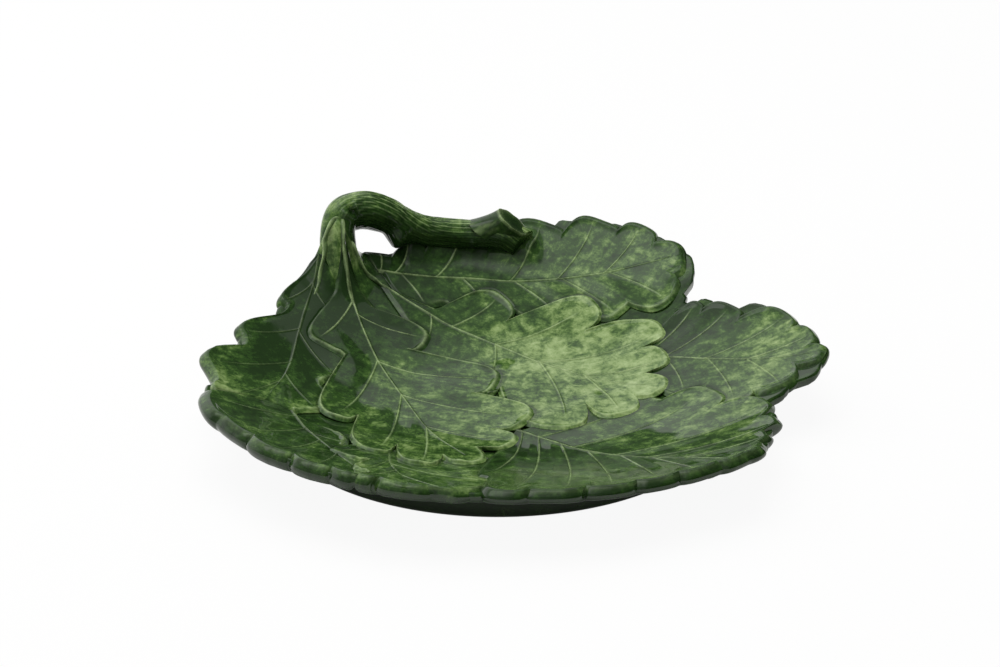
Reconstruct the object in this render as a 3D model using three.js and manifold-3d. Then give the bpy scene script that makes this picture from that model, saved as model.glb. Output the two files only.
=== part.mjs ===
// Leaf dish: a shallow glazed earthenware plate built up from overlapping lobed
// leaves on a bowl-shaped shell, with a foot under it and an arched twig handle.
// Millimetres, Z up, X across the dish, Y from the front rim to the handle side.
import * as THREE from "three";
import { mergeVertices } from "three/addons/utils/BufferGeometryUtils.js";
import Module from "manifold-3d";

const wasm = await Module();
wasm.setup();

// Dish: half width, half depths, height of the inside floor and of the rim on each side.
const HALF_WIDTH = 139;
const HALF_DEPTH_BACK = 130;
const HALF_DEPTH_FRONT = 124;
const FLOOR_TOP = 7;
const RIM_FRONT = 29;
const RIM_RIGHT = 30;
const RIM_BACK = 39;
const RIM_LEFT = 33;
const FLAT_SHARE = 0.3;
const WALL_CURVE = 1.6;
const SHELL_WALL = 4.5;

// Leaves: thickness of the slab, ridges on it, rounding at its edge.
const LEAF_THICK = 2.0;
const VEIN_RISE = 0.4;
const MIDRIB_RISE = 0.9;
const MIDRIB_WIDTH = 2.2;
const EDGE_ROUND = 1.6;
const EDGE_DROP = 0.8;
const LOBE_FULLNESS = 0.72;
const DRAPE_REACH = 11;
const DRAPE_MARGIN = 3;
const SLIP_BED = 0.45;
const STACK_SLACK = 0.9;
const SHELL_INSET = 1.6;

// Clearance left between pieces that were luted together with slip.
const CLEARANCE = 0.3;

// Foot: a thrown collar under the shell, set a little towards the handle's side.
const FOOT_INNER = 90;
const FOOT_OUTER = 102;
const FOOT_FLARE = 112;
const FOOT_DRAFT = 1;
const FOOT_LEAN = 0.35;
const FOOT_SHIFT = -8;

// Twig and stems.
const TWIG_RADIUS = 7.4;
const TWIG_ARCH_SWELL = 1.7;
const TWIG_TOE_FLARE = 3;
const TWIG_SIDES = 14;
const TWIG_RINGS = 30;
const STUB_RADIUS = 6.8;
const STEM_RADIUS = 2.4;
const SHOOT_SIDES = 10;
const STUB_RINGS = 4;
const STEM_RINGS = 10;

// The leaf layout is drawn on a dish of this size and stretched to the dish above.
const LAYOUT_HALF_WIDTH = 139;
const LAYOUT_HALF_BACK = 130;
const LAYOUT_HALF_FRONT = 124;

function plan(point) {
  const across = HALF_WIDTH / LAYOUT_HALF_WIDTH;
  const back = HALF_DEPTH_BACK / LAYOUT_HALF_BACK;
  const front = HALF_DEPTH_FRONT / LAYOUT_HALF_FRONT;
  return new THREE.Vector2(point[0] * across, point[1] * (point[1] < 0 ? front : back));
}

// Height of the shell's inside at a place in plan.
function shellTop(x, y) {
  const halfDepth = y < 0 ? HALF_DEPTH_FRONT : HALF_DEPTH_BACK;
  const turn = Math.atan2(y / halfDepth, x / HALF_WIDTH);
  const reach = Math.hypot(x / HALF_WIDTH, y / halfDepth);
  const mean = (RIM_FRONT + RIM_RIGHT + RIM_BACK + RIM_LEFT) / 4;
  const rim = mean
    + (RIM_RIGHT - RIM_LEFT) / 2 * Math.cos(turn)
    + (RIM_BACK - RIM_FRONT) / 2 * Math.sin(turn)
    + (RIM_RIGHT + RIM_LEFT - RIM_FRONT - RIM_BACK) / 4 * Math.cos(2 * turn);
  const out = Math.max(0, (reach - FLAT_SHARE) / (1 - FLAT_SHARE));
  return FLOOR_TOP + (rim - FLOOR_TOP) * Math.pow(out, WALL_CURVE);
}

function shellUnder(x, y) {
  return shellTop(x, y) - SHELL_WALL;
}

// A place over the dish: where it is in the layout and how far above the shell's inside.
function over([x, y, high]) {
  const at = plan([x, y]);
  return [at.x, at.y, shellTop(at.x, at.y) + high];
}

// One lobe: its tip, the notch on its far side, and where its vein leaves the midrib.
function lobe(tip, notch, root) {
  return { tip: plan(tip), notch: plan(notch), root: plan(root) };
}

// Leaves from the lowest to the highest. Each side runs from the stem to the leaf's end.
const LEAVES = [
  {
    name: "leaf_right",
    color: 0x4f8a3f,
    midrib: [[55, 38], [76, 29], [95, 20], [117, 10], [133, 4]],
    end: [141.5, 1],
    necks: [[60, 46], [60, 28]],
    sides: [
      [
        lobe([88, 71.5], [90.5, 65], [60, 36]),
        lobe([104.5, 62], [107, 51], [69, 32]),
        lobe([129.5, 43], [129.5, 31], [88, 23.5]),
        lobe([139, 21], [137, 12], [106, 15]),
      ],
      [
        lobe([76, -6], [84, -12], [70, 32]),
        lobe([97, -25], [106, -17], [89, 23]),
        lobe([118, -19.5], [126, -5.5], [106, 15]),
      ],
    ],
  },
  {
    name: "leaf_left",
    color: 0x2f6a2a,
    midrib: [[-94, 84], [-98, 62], [-100.5, 40], [-102, 18], [-104, 0], [-108, -18]],
    end: [-112, -44],
    necks: [[-99, 83], [-90, 82]],
    sides: [
      [
        lobe([-110.5, 54], [-111.5, 43], [-96, 74]),
        lobe([-129, 24], [-125, 11], [-100.5, 40]),
        lobe([-140.5, -11], [-134, -31], [-102.5, 12]),
        lobe([-128, -42], [-121, -42], [-105, -8]),
      ],
      [
        lobe([-84, 56], [-86, 40], [-97, 72]),
        lobe([-80, 8], [-86, -6], [-100.5, 38]),
        lobe([-86, -28], [-96, -36], [-104, 0]),
      ],
    ],
  },
  {
    name: "leaf_back",
    color: 0x3f7d35,
    midrib: [[-66, 93], [-48, 94], [-25, 95.5], [0, 95], [22, 96], [45, 97], [67, 99], [76, 100]],
    end: [84.5, 100.5],
    necks: [[-62, 104], [-62, 88]],
    sides: [
      [
        lobe([-51, 113], [-43, 109], [-58, 93.5]),
        lobe([-25, 121], [-12, 114.5], [-38, 94]),
        lobe([14, 133], [25, 125], [-2, 95]),
        lobe([41, 132.5], [53, 123.5], [21, 96]),
        lobe([64, 125], [70, 113], [44, 97]),
      ],
      [
        lobe([-42, 74], [-30, 76], [-55, 93.5]),
        lobe([-10, 72], [0, 76], [-25, 95.5]),
        lobe([22, 72], [30, 76], [0, 95]),
        lobe([50, 68], [56, 74], [23, 96]),
        lobe([75, 71.5], [79.5, 86], [46, 97]),
      ],
    ],
  },
  {
    name: "leaf_front_left",
    color: 0x2f6f28,
    midrib: [[-98, -37], [-92, -50], [-85, -62], [-75, -80], [-68, -94]],
    end: [-68, -117],
    necks: [[-110, -32], [-90, -43]],
    sides: [
      [
        lobe([-137, -46], [-125, -67], [-96, -42]),
        lobe([-120, -78], [-111, -82], [-91, -52]),
        lobe([-103, -97], [-92, -98], [-84, -64]),
        lobe([-85, -109.5], [-75, -108], [-76, -79]),
      ],
      [
        lobe([-72, -60], [-66, -74], [-88, -57]),
        lobe([-54, -92], [-56, -104], [-78, -75]),
      ],
    ],
  },
  {
    name: "leaf_front",
    color: 0x3a7a30,
    midrib: [[-56, -50], [-54.5, -66], [-53, -84], [-49, -98], [-45, -110]],
    end: [-46, -123.5],
    necks: [[-62, -54], [-48, -52]],
    sides: [
      [
        lobe([-79, -77], [-63, -84], [-55.5, -56]),
        lobe([-66, -104], [-62, -110], [-53.5, -78]),
        lobe([-63, -118], [-57, -115], [-50, -94]),
      ],
      [
        lobe([-22, -68], [-22, -80], [-55, -60]),
        lobe([-8, -98], [-9, -110], [-53, -84]),
        lobe([-24, -124.5], [-34, -118.5], [-48, -100]),
      ],
    ],
  },
  {
    name: "leaf_front_right",
    color: 0x4d8a3c,
    midrib: [[0, -30], [10, -37], [20, -45], [30, -54], [47, -66], [66, -76], [88, -83]],
    end: [104.5, -84],
    necks: [[6, -27], [-6, -42]],
    sides: [
      [
        lobe([60, 3], [68, -5], [10, -37]),
        lobe([88, -1.5], [91, -21], [24, -49]),
        lobe([113.5, -30], [105, -42], [42, -63]),
        lobe([115, -53], [104, -60], [56, -71]),
        lobe([109, -68], [103, -75], [72, -78]),
      ],
      [
        lobe([-15, -92], [-14, -106], [3, -32]),
        lobe([-6, -125], [4, -119], [10, -37]),
        lobe([17, -124], [27, -116], [20, -45]),
        lobe([38, -120], [48, -111], [31, -55]),
        lobe([58, -113], [66, -104], [45, -65]),
        lobe([76, -105], [83, -96], [58, -72]),
        lobe([92, -97], [97, -90], [72, -78]),
      ],
    ],
  },
  {
    name: "leaf_middle",
    color: 0x5f9a4c,
    midrib: [[-66, 86], [-50, 75.5], [-30, 63.5], [-9, 52], [11, 37], [31, 23.5], [50, 13], [60, 8.5]],
    end: [69, 4],
    necks: [[-36, 74], [-44, 64]],
    sides: [
      [
        lobe([-6, 88], [-2, 71], [-30, 63.5]),
        lobe([39, 81], [36, 62], [-9, 52]),
        lobe([71.5, 53], [60, 42], [11, 37]),
        lobe([72.5, 31], [62, 21], [32, 23]),
      ],
      [
        lobe([-35, 42], [-24, 34], [-48, 74]),
        lobe([-4, 14], [-2, 2], [-9, 52]),
        lobe([22, -30.5], [32, -9], [12, 36]),
        lobe([48, -18.5], [55, -2], [32, 23]),
      ],
    ],
  },
  {
    name: "leaf_centre",
    color: 0x6aa356,
    midrib: [[-82, 88], [-77.5, 70], [-70, 47], [-63.5, 29], [-52, 2], [-40, -28], [-29, -48], [-22, -60]],
    end: [-18.5, -72],
    necks: [[-66, 69], [-87, 70]],
    sides: [
      [
        lobe([-39.5, 53], [-47, 42], [-75, 61]),
        lobe([-6, 20], [-17, 4], [-63.5, 29]),
        lobe([8.5, -17], [-8, -30], [-52, 2]),
        lobe([1.5, -41], [-15, -49.5], [-40, -27]),
      ],
      [
        lobe([-94, 33], [-80, 25], [-77, 69]),
        lobe([-81.5, -32.5], [-71, -28], [-64, 30]),
        lobe([-61, -68.5], [-52, -56], [-52, 2]),
        lobe([-41, -79.5], [-32, -65], [-40, -29]),
      ],
    ],
  },
];

// Share of the way along a polyline that comes nearest to a point.
function shareAlong(line, point) {
  let total = 0;
  let best = { gap: Infinity, at: 0 };
  for (let i = 1; i < line.length; i += 1) {
    const step = line[i].clone().sub(line[i - 1]);
    const length = step.length();
    const along = THREE.MathUtils.clamp(point.clone().sub(line[i - 1]).dot(step) / (length * length), 0, 1);
    const gap = line[i - 1].clone().addScaledVector(step, along).distanceTo(point);
    if (gap < best.gap) {
      best = { gap, at: total + along * length };
    }
    total += length;
  }
  return best.at / total;
}

function pointAlong(line, share) {
  let total = 0;
  for (let i = 1; i < line.length; i += 1) {
    total += line[i].distanceTo(line[i - 1]);
  }
  let left = share * total;
  for (let i = 1; i < line.length; i += 1) {
    const length = line[i].distanceTo(line[i - 1]);
    if (left <= length || i === line.length - 1) {
      return line[i - 1].clone().lerp(line[i], left / length);
    }
    left -= length;
  }
  return line[0].clone();
}

// Rounded flank of a lobe from a notch to its tip, or from its tip to a notch.
const FLANK_STEPS = 3;
const NECK_LEAN = 0.8;
function flank(notch, tip, root) {
  const way = tip.clone().sub(root).normalize();
  const reach = tip.clone().sub(notch);
  const high = reach.dot(way);
  const wide = reach.clone().addScaledVector(way, -high);
  return new THREE.CubicBezierCurve(
    notch,
    notch.clone().addScaledVector(way, high * LOBE_FULLNESS),
    tip.clone().addScaledVector(wide, -LOBE_FULLNESS),
    tip,
  );
}

// Edge of one side of a leaf: points with the share of the midrib that each one hangs from.
function sideEdge(midrib, neck, lobes, end) {
  const neckShare = shareAlong(midrib, neck) * NECK_LEAN;
  const edge = [];
  for (let k = 1; k <= FLANK_STEPS; k += 1) {
    const t = k / FLANK_STEPS;
    edge.push({ at: midrib[0].clone().lerp(neck, t), share: neckShare * t, vein: 0 });
  }
  const shares = lobes.map((each) => shareAlong(midrib, each.root));
  shares.push(1);
  const tips = lobes.map((each) => each.tip).concat([end]);
  const roots = shares.map((share) => pointAlong(midrib, share));
  let notch = neck;
  let notchShare = neckShare;
  for (let i = 0; i < tips.length; i += 1) {
    const rise = flank(notch, tips[i], roots[i]);
    for (let k = 1; k < FLANK_STEPS; k += 1) {
      const t = k / FLANK_STEPS;
      edge.push({ at: rise.getPoint(t), share: THREE.MathUtils.lerp(notchShare, shares[i], t), vein: 0 });
    }
    if (i === lobes.length) {
      break;
    }
    edge.push({ at: tips[i], share: shares[i], vein: 1 });
    notch = lobes[i].notch;
    notchShare = (shares[i] + shares[i + 1]) / 2;
    const fall = flank(notch, tips[i], roots[i]);
    for (let k = 1; k <= FLANK_STEPS; k += 1) {
      const t = k / FLANK_STEPS;
      edge.push({ at: fall.getPoint(1 - t), share: THREE.MathUtils.lerp(shares[i], notchShare, t), vein: 0 });
    }
  }
  return edge;
}

// Edge all round a leaf, anticlockwise, with the stem end and the far end in it.
function leafEdge(leaf) {
  const midrib = leaf.midrib.map(plan);
  const end = plan(leaf.end);
  const first = sideEdge(midrib, plan(leaf.necks[0]), leaf.sides[0], end);
  const second = sideEdge(midrib, plan(leaf.necks[1]), leaf.sides[1], end);
  const round = [
    { at: midrib[0], share: 0, vein: 0 },
    ...first,
    { at: end, share: 1, vein: 1 },
    ...second.reverse(),
  ];
  const area = THREE.ShapeUtils.area(round.map((each) => each.at));
  return area < 0 ? round.reverse() : round;
}

// Distance from a leaf's edge, more than nought inside it.
function insideBy(edge, x, y) {
  let inside = false;
  let gap = Infinity;
  for (let i = 0, j = edge.length - 1; i < edge.length; j = i, i += 1) {
    const a = edge[j].at;
    const b = edge[i].at;
    const dx = b.x - a.x;
    const dy = b.y - a.y;
    const along = THREE.MathUtils.clamp(((x - a.x) * dx + (y - a.y) * dy) / (dx * dx + dy * dy), 0, 1);
    gap = Math.min(gap, Math.hypot(x - a.x - along * dx, y - a.y - along * dy));
    if ((b.y > y) !== (a.y > y) && x < (a.x - b.x) * (y - b.y) / (a.y - b.y) + b.x) {
      inside = !inside;
    }
  }
  return inside ? gap : -gap;
}

// Height that a leaf's underside lies at, draped over the shell and over the leaves below it.
const STACK_STEP = LEAF_THICK + VEIN_RISE + STACK_SLACK;
function drape(order, x, y) {
  let z = shellTop(x, y) + SLIP_BED;
  for (let i = 0; i < order; i += 1) {
    const depth = insideBy(LEAVES[i].edge, x, y);
    z += STACK_STEP * THREE.MathUtils.smoothstep(depth, -DRAPE_REACH, -DRAPE_MARGIN);
  }
  return z;
}

// Skin over rings of points; the ends are closed by the faces given for them, or by the
// rings themselves where they run round in a loop or shrink to a point.
function skin(rings, looped, ends = []) {
  const count = rings[0].length;
  const points = rings.flat();
  const faces = [...ends];
  const last = looped ? rings.length : rings.length - 1;
  for (let r = 0; r < last; r += 1) {
    const here = r * count;
    const next = ((r + 1) % rings.length) * count;
    for (let i = 0; i < count; i += 1) {
      const j = (i + 1) % count;
      faces.push([here + i, next + i, next + j], [here + i, next + j, here + j]);
    }
  }
  const geometry = new THREE.BufferGeometry().setFromPoints(points);
  geometry.setIndex(faces.flat());
  return welded(geometry);
}

// Welds points that coincide and drops the faces that shrink to a line.
const WELD = 0.001;
function welded(geometry) {
  geometry.deleteAttribute("normal");
  geometry.deleteAttribute("uv");
  const joined = mergeVertices(geometry, WELD);
  const index = joined.getIndex().array;
  const kept = [];
  for (let i = 0; i < index.length; i += 3) {
    const [a, b, c] = [index[i], index[i + 1], index[i + 2]];
    if (a !== b && b !== c && c !== a) {
      kept.push(a, b, c);
    }
  }
  joined.setIndex(kept);
  return joined;
}

function solid(geometry) {
  const made = new wasm.Manifold(new wasm.Mesh({
    numProp: 3,
    vertProperties: new Float32Array(geometry.getAttribute("position").array),
    triVerts: new Uint32Array(geometry.getIndex().array),
  }));
  return made;
}

function geometryOf(made) {
  const mesh = made.getMesh();
  const geometry = new THREE.BufferGeometry();
  geometry.setAttribute("position", new THREE.BufferAttribute(new Float32Array(mesh.vertProperties), 3));
  geometry.setIndex(Array.from(mesh.triVerts));
  return geometry;
}

// A solid grown a little all round, for leaving clearance when another piece is cut by it.
function grown(made) {
  let sum = made;
  for (const [x, y, z] of [[1, 0, 0], [-1, 0, 0], [0, 1, 0], [0, -1, 0], [0, 0, 1], [0, 0, -1]]) {
    sum = sum.add(made.translate([x * CLEARANCE, y * CLEARANCE, z * CLEARANCE]));
  }
  return sum;
}

// Faces of the narrow strip along a leaf's midrib, between the two sides of a ring.
function midribStrip(edge, start, upward) {
  const count = edge.length;
  const base = edge.findIndex((each) => each.share === 0);
  const end = edge.findIndex((each) => each.share === 1);
  const faces = [];
  let right = base;
  let left = base;
  while (right !== end || left !== end) {
    const nextRight = (right + 1) % count;
    const nextLeft = (left + count - 1) % count;
    const goRight = left === end || (right !== end && edge[nextRight].share <= edge[nextLeft].share);
    const face = goRight ? [right, nextRight, left] : [right, nextLeft, left];
    if (new Set(face).size === 3) {
      faces.push(upward ? face : face.slice().reverse());
    }
    if (goRight) {
      right = nextRight;
    } else {
      left = nextLeft;
    }
  }
  return faces.map((face) => face.map((each) => each + start));
}

// Leaf slab: rings from the midrib out to the edge on top, then back to the midrib underneath.
const RING_SHARES = [0.42, 0.76];
const SHOULDER_SHARE = 0.8;
const STRIP_HALF = 0.5;
const STRIP_SHARE = 0.1;
const SHORTEST_RIB = 0.001;
function leafSolid(leaf, order) {
  const midrib = leaf.midrib.map(plan);
  const ring = (shareOut, top) => leaf.edge.map((each) => {
    const root = pointAlong(midrib, each.share);
    const length = Math.max(each.at.distanceTo(root), SHORTEST_RIB);
    const out = Math.min(1, shareOut(length));
    const place = root.clone().lerp(each.at, out);
    return new THREE.Vector3(place.x, place.y, drape(order, place.x, place.y) + top(each, out));
  });
  const blade = (each) => LEAF_THICK + VEIN_RISE * each.vein;
  const shoulder = (length) => Math.max(SHOULDER_SHARE, 1 - EDGE_ROUND / length);
  const strip = (length) => Math.min(STRIP_SHARE, STRIP_HALF / length);
  const rings = [
    ring(strip, () => LEAF_THICK + MIDRIB_RISE),
    ring((length) => Math.min(RING_SHARES[0] / 2, MIDRIB_WIDTH / length), blade),
    ring(() => RING_SHARES[0], blade),
    ring(() => RING_SHARES[1], blade),
    ring(shoulder, () => LEAF_THICK),
    ring(() => 1, () => LEAF_THICK - EDGE_DROP),
    ring(() => 1, () => 0),
    ring(() => RING_SHARES[1], () => 0),
    ring(() => RING_SHARES[0], () => 0),
    ring(strip, () => 0),
  ];
  const ends = [
    ...midribStrip(leaf.edge, 0, true),
    ...midribStrip(leaf.edge, (rings.length - 1) * leaf.edge.length, false),
  ];
  return solid(skin(rings, false, ends));
}

// Shell: a bowl slab trimmed to the outline that the leaves make, a little inside their edges.
const SHELL_SEGMENTS = 48;
const SHELL_REACHES = [0, 0.16, 0.3, 0.42, 0.54, 0.66, 0.78, 0.9, 1.02, 1.16, 1.3];
const CORE_SHARE = 0.8;
const PRISM_HEIGHT = 90;
const WEB_OUTLINE = [[-101, 78], [-92, 91], [-80, 98.5], [-66, 100], [-56, 84], [-84, 66]];

function bowlSlab() {
  const ring = (reach, height) => Array.from({ length: SHELL_SEGMENTS }, (_, i) => {
    const turn = i / SHELL_SEGMENTS * Math.PI * 2;
    const halfDepth = Math.sin(turn) < 0 ? HALF_DEPTH_FRONT : HALF_DEPTH_BACK;
    const x = reach * HALF_WIDTH * Math.cos(turn);
    const y = reach * halfDepth * Math.sin(turn);
    return new THREE.Vector3(x, y, height(x, y));
  });
  const tops = SHELL_REACHES.map((reach) => ring(reach, shellTop));
  const unders = SHELL_REACHES.slice().reverse().map((reach) => ring(reach, shellUnder));
  return solid(skin([...tops, ...unders], false));
}

function prism(points) {
  const shape = new THREE.Shape(points);
  const geometry = new THREE.ExtrudeGeometry(shape, { depth: PRISM_HEIGHT, bevelEnabled: false });
  return solid(welded(geometry));
}

// An outline drawn in by a fixed distance.
function drawnIn(points, by) {
  return points.map((point, i) => {
    const before = points[(i + points.length - 1) % points.length];
    const after = points[(i + 1) % points.length];
    const way = after.clone().sub(before).normalize();
    return new THREE.Vector2(point.x - way.y * by, point.y + way.x * by);
  });
}

function dishShell() {
  const core = Array.from({ length: SHELL_SEGMENTS }, (_, i) => {
    const turn = i / SHELL_SEGMENTS * Math.PI * 2;
    const halfDepth = Math.sin(turn) < 0 ? HALF_DEPTH_FRONT : HALF_DEPTH_BACK;
    return new THREE.Vector2(
      CORE_SHARE * HALF_WIDTH * Math.cos(turn),
      CORE_SHARE * halfDepth * Math.sin(turn),
    );
  });
  let outline = prism(core);
  const web = WEB_OUTLINE.map(plan);
  outline = outline.add(prism(THREE.ShapeUtils.area(web) < 0 ? web.reverse() : web));
  for (const leaf of LEAVES) {
    outline = outline.add(prism(drawnIn(leaf.edge.map((each) => each.at), SHELL_INSET)));
  }
  return bowlSlab().intersect(outline);
}

// Foot: a collar that flares out into the underside of the shell.
const FOOT_SEGMENTS = 56;
function footRing() {
  const depthShare = (HALF_DEPTH_FRONT + HALF_DEPTH_BACK) / (2 * HALF_WIDTH);
  const ring = (radius, height) => Array.from({ length: FOOT_SEGMENTS }, (_, i) => {
    const turn = i / FOOT_SEGMENTS * Math.PI * 2;
    const x = FOOT_SHIFT + radius * Math.cos(turn);
    const y = radius * depthShare * Math.sin(turn);
    return new THREE.Vector3(x, y, height(x, y));
  });
  const seat = (x, y) => shellUnder(x, y) - CLEARANCE;
  const middle = (FOOT_OUTER + FOOT_FLARE) / 2;
  const rings = [
    ring(FOOT_INNER, () => 0),
    ring(FOOT_INNER + FOOT_DRAFT, seat),
    ring((FOOT_INNER + FOOT_OUTER) / 2, seat),
    ring(FOOT_OUTER, seat),
    ring(middle, seat),
    ring(FOOT_FLARE, seat),
    ring(middle, (x, y) => seat(x, y) * FOOT_LEAN),
    ring(FOOT_OUTER, () => 0),
  ];
  return solid(skin(rings, true));
}

// A rod along a curve, round in section, with a radius that may change along it.
function rod(points, radiusAt, sides, steps) {
  const curve = new THREE.CatmullRomCurve3(points.map((each) => new THREE.Vector3(...each)));
  const frames = curve.computeFrenetFrames(steps, false);
  const rings = [];
  for (let k = 0; k <= steps; k += 1) {
    const share = k / steps;
    const middle = curve.getPointAt(share);
    const loop = (radius) => Array.from({ length: sides }, (_, i) => {
      const turn = i / sides * Math.PI * 2;
      return middle.clone()
        .addScaledVector(frames.normals[k], radius * Math.cos(turn))
        .addScaledVector(frames.binormals[k], radius * Math.sin(turn));
    });
    if (k === 0) {
      rings.push(loop(0));
    }
    rings.push(loop(radiusAt(share)));
    if (k === steps) {
      rings.push(loop(0));
    }
  }
  const made = solid(skin(rings, false));
  return made.volume() < 0 ? solid(skin(rings.reverse(), false)) : made;
}

for (const leaf of LEAVES) {
  leaf.edge = leafEdge(leaf);
}

// Takes the pieces that are already in place out of a new one, with clearance, and keeps its body.
function fitted(made, placed) {
  let left = made;
  for (const other of placed) {
    if (!left.intersect(other).isEmpty()) {
      left = left.subtract(grown(other));
    }
  }
  const bodies = left.decompose();
  bodies.sort((a, b) => b.volume() - a.volume());
  return bodies[0];
}

const shell = dishShell();
const foot = footRing();
const placed = [shell];
for (const [order, leaf] of LEAVES.entries()) {
  leaf.solid = fitted(leafSolid(leaf, order), placed);
  placed.push(leaf.solid);
}

// Twig: from a broad toe on the left of the back rim, up and over the finger hole, and down
// along the back rim to its cut end.
const TWIG_PATH = [
  [-83.4, 84, 8.9], [-85.1, 90, 12.4], [-85.7, 95, 14.9], [-83.1, 101, 17.8], [-78.9, 105, 18.2],
  [-71.7, 107.5, 19.1], [-62.6, 109.5, 16.7], [-56.2, 111, 13.1], [-48.7, 112.5, 9.7],
  [-40.9, 114, 7.6], [-25.6, 115.5, 6.6], [-12.8, 115.5, 7.6], [7.4, 114, 9.2],
];
const ARCH_SHARE = 0.31;
const ARCH_SPREAD = 0.19;
const TOE_SHARE = 0.16;
function twigRadius(share) {
  const swell = Math.exp(-(((share - ARCH_SHARE) / ARCH_SPREAD) ** 2));
  const toe = 1 - THREE.MathUtils.smoothstep(share, 0, TOE_SHARE);
  return TWIG_RADIUS + TWIG_ARCH_SWELL * swell + TWIG_TOE_FLARE * toe;
}
const twig = fitted(rod(TWIG_PATH.map(over), twigRadius, TWIG_SIDES, TWIG_RINGS), placed);
placed.push(twig);

// Stub: what is left of a side shoot that was cut off near the twig's end. It leans to the
// right and its cut slopes down towards the rim.
const STUB_TAPER = 0.08;
const STUB_PATH = [[-5, 114.4, 11], [-3, 114.2, 14.8], [-1, 114, 18.6]];
const stubRadius = (share) => STUB_RADIUS * (1 - STUB_TAPER * share);
const stub = fitted(rod(STUB_PATH.map(over), stubRadius, SHOOT_SIDES, STUB_RINGS), placed);
placed.push(stub);

// Stems: strips of clay that run down the twig's leg and on to the leaves.
const STEM_TAPER = 0.35;
const STEMS = [
  {
    name: "stem_centre",
    path: [
      [-83.1, 94, 25], [-82.2, 86.4, 21.4], [-81.2, 80, 18.4], [-80, 74.4, 15.6],
      [-79.4, 73, 12], [-78.3, 70.5, 7.6], [-77.4, 67, 5.2],
    ],
  },
  {
    name: "stem_left",
    path: [
      [-84.8, 92, 24.5], [-89.6, 89, 19.8], [-92.1, 87, 15.4], [-93, 80, 9.4], [-94.4, 73, 5],
      [-97.3, 65, 3.6],
    ],
  },
  {
    name: "stem_middle",
    path: [[-77.5, 92, 8.6], [-71.8, 89, 6], [-66.4, 86, 5.4], [-60, 81.5, 5]],
  },
];
for (const stem of STEMS) {
  const radius = (share) => STEM_RADIUS * (1 - STEM_TAPER * share);
  stem.solid = fitted(rod(stem.path.map(over), radius, SHOOT_SIDES, STEM_RINGS), placed);
  placed.push(stem.solid);
}

// Every piece as a named mesh with its own material, the box's bottom middle at the origin.
const group = new THREE.Group();
group.name = "leaf_dish";
const box = [...placed, foot].reduce((sum, made) => {
  const each = made.boundingBox();
  return sum.union(new THREE.Box3(new THREE.Vector3(...each.min), new THREE.Vector3(...each.max)));
}, new THREE.Box3());
const middle = box.getCenter(new THREE.Vector3());

function put(name, made, color) {
  const moved = made.translate([-middle.x, -middle.y, -box.min.z]);
  const material = new THREE.MeshStandardMaterial({ color, roughness: 0.25 });
  const mesh = new THREE.Mesh(geometryOf(moved).toNonIndexed(), material);
  mesh.geometry.computeVertexNormals();
  mesh.name = name;
  group.add(mesh);
}

put("dish_shell", shell, 0x2a4a24);
put("foot_ring", foot, 0x24351f);
for (const leaf of LEAVES) {
  put(leaf.name, leaf.solid, leaf.color);
}
put("twig_handle", twig, 0x35602c);
put("twig_stub", stub, 0x42702f);
for (const stem of STEMS) {
  put(stem.name, stem.solid, 0x76a45c);
}

export default group;
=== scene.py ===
import math

import bmesh
import bpy
import numpy as np
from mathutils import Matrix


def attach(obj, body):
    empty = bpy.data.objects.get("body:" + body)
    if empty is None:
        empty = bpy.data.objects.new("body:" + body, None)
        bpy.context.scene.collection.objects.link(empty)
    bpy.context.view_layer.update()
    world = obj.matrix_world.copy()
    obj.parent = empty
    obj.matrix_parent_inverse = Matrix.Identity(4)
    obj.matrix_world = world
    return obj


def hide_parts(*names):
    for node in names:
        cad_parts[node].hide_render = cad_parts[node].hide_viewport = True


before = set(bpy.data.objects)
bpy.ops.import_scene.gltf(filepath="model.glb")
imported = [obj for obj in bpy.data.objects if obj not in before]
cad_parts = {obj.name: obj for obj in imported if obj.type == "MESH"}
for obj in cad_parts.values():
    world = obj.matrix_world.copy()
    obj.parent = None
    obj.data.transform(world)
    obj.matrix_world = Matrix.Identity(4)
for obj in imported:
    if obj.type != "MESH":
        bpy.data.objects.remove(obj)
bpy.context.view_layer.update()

# Leaf layout: eight lobed leaves of rolled earthenware laid over each other in a bowl, the
# lowest first. Each lobe is given by its tip, the notch after it and the place on the midrib
# where its vein starts, in millimetres in plan.
MM = 0.001
PLAN_MIDDLE = np.array([0.415, 4.5])
HALF_WIDTH = 139.0
HALF_DEPTH_BACK = 130.0
HALF_DEPTH_FRONT = 124.0
FLOOR_TOP = 7.0
RIM_FRONT = 29.0
RIM_RIGHT = 30.0
RIM_BACK = 39.0
RIM_LEFT = 33.0
FLAT_SHARE = 0.3
WALL_CURVE = 1.6
SHELL_WALL = 4.5
LINE_STEPS = 40
MIDRIB_POINTS = 401
FLANK_POINTS = 10
LOBE_FULLNESS = 0.72
NECK_SHARE = 0.8
FAR = 1e9

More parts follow.
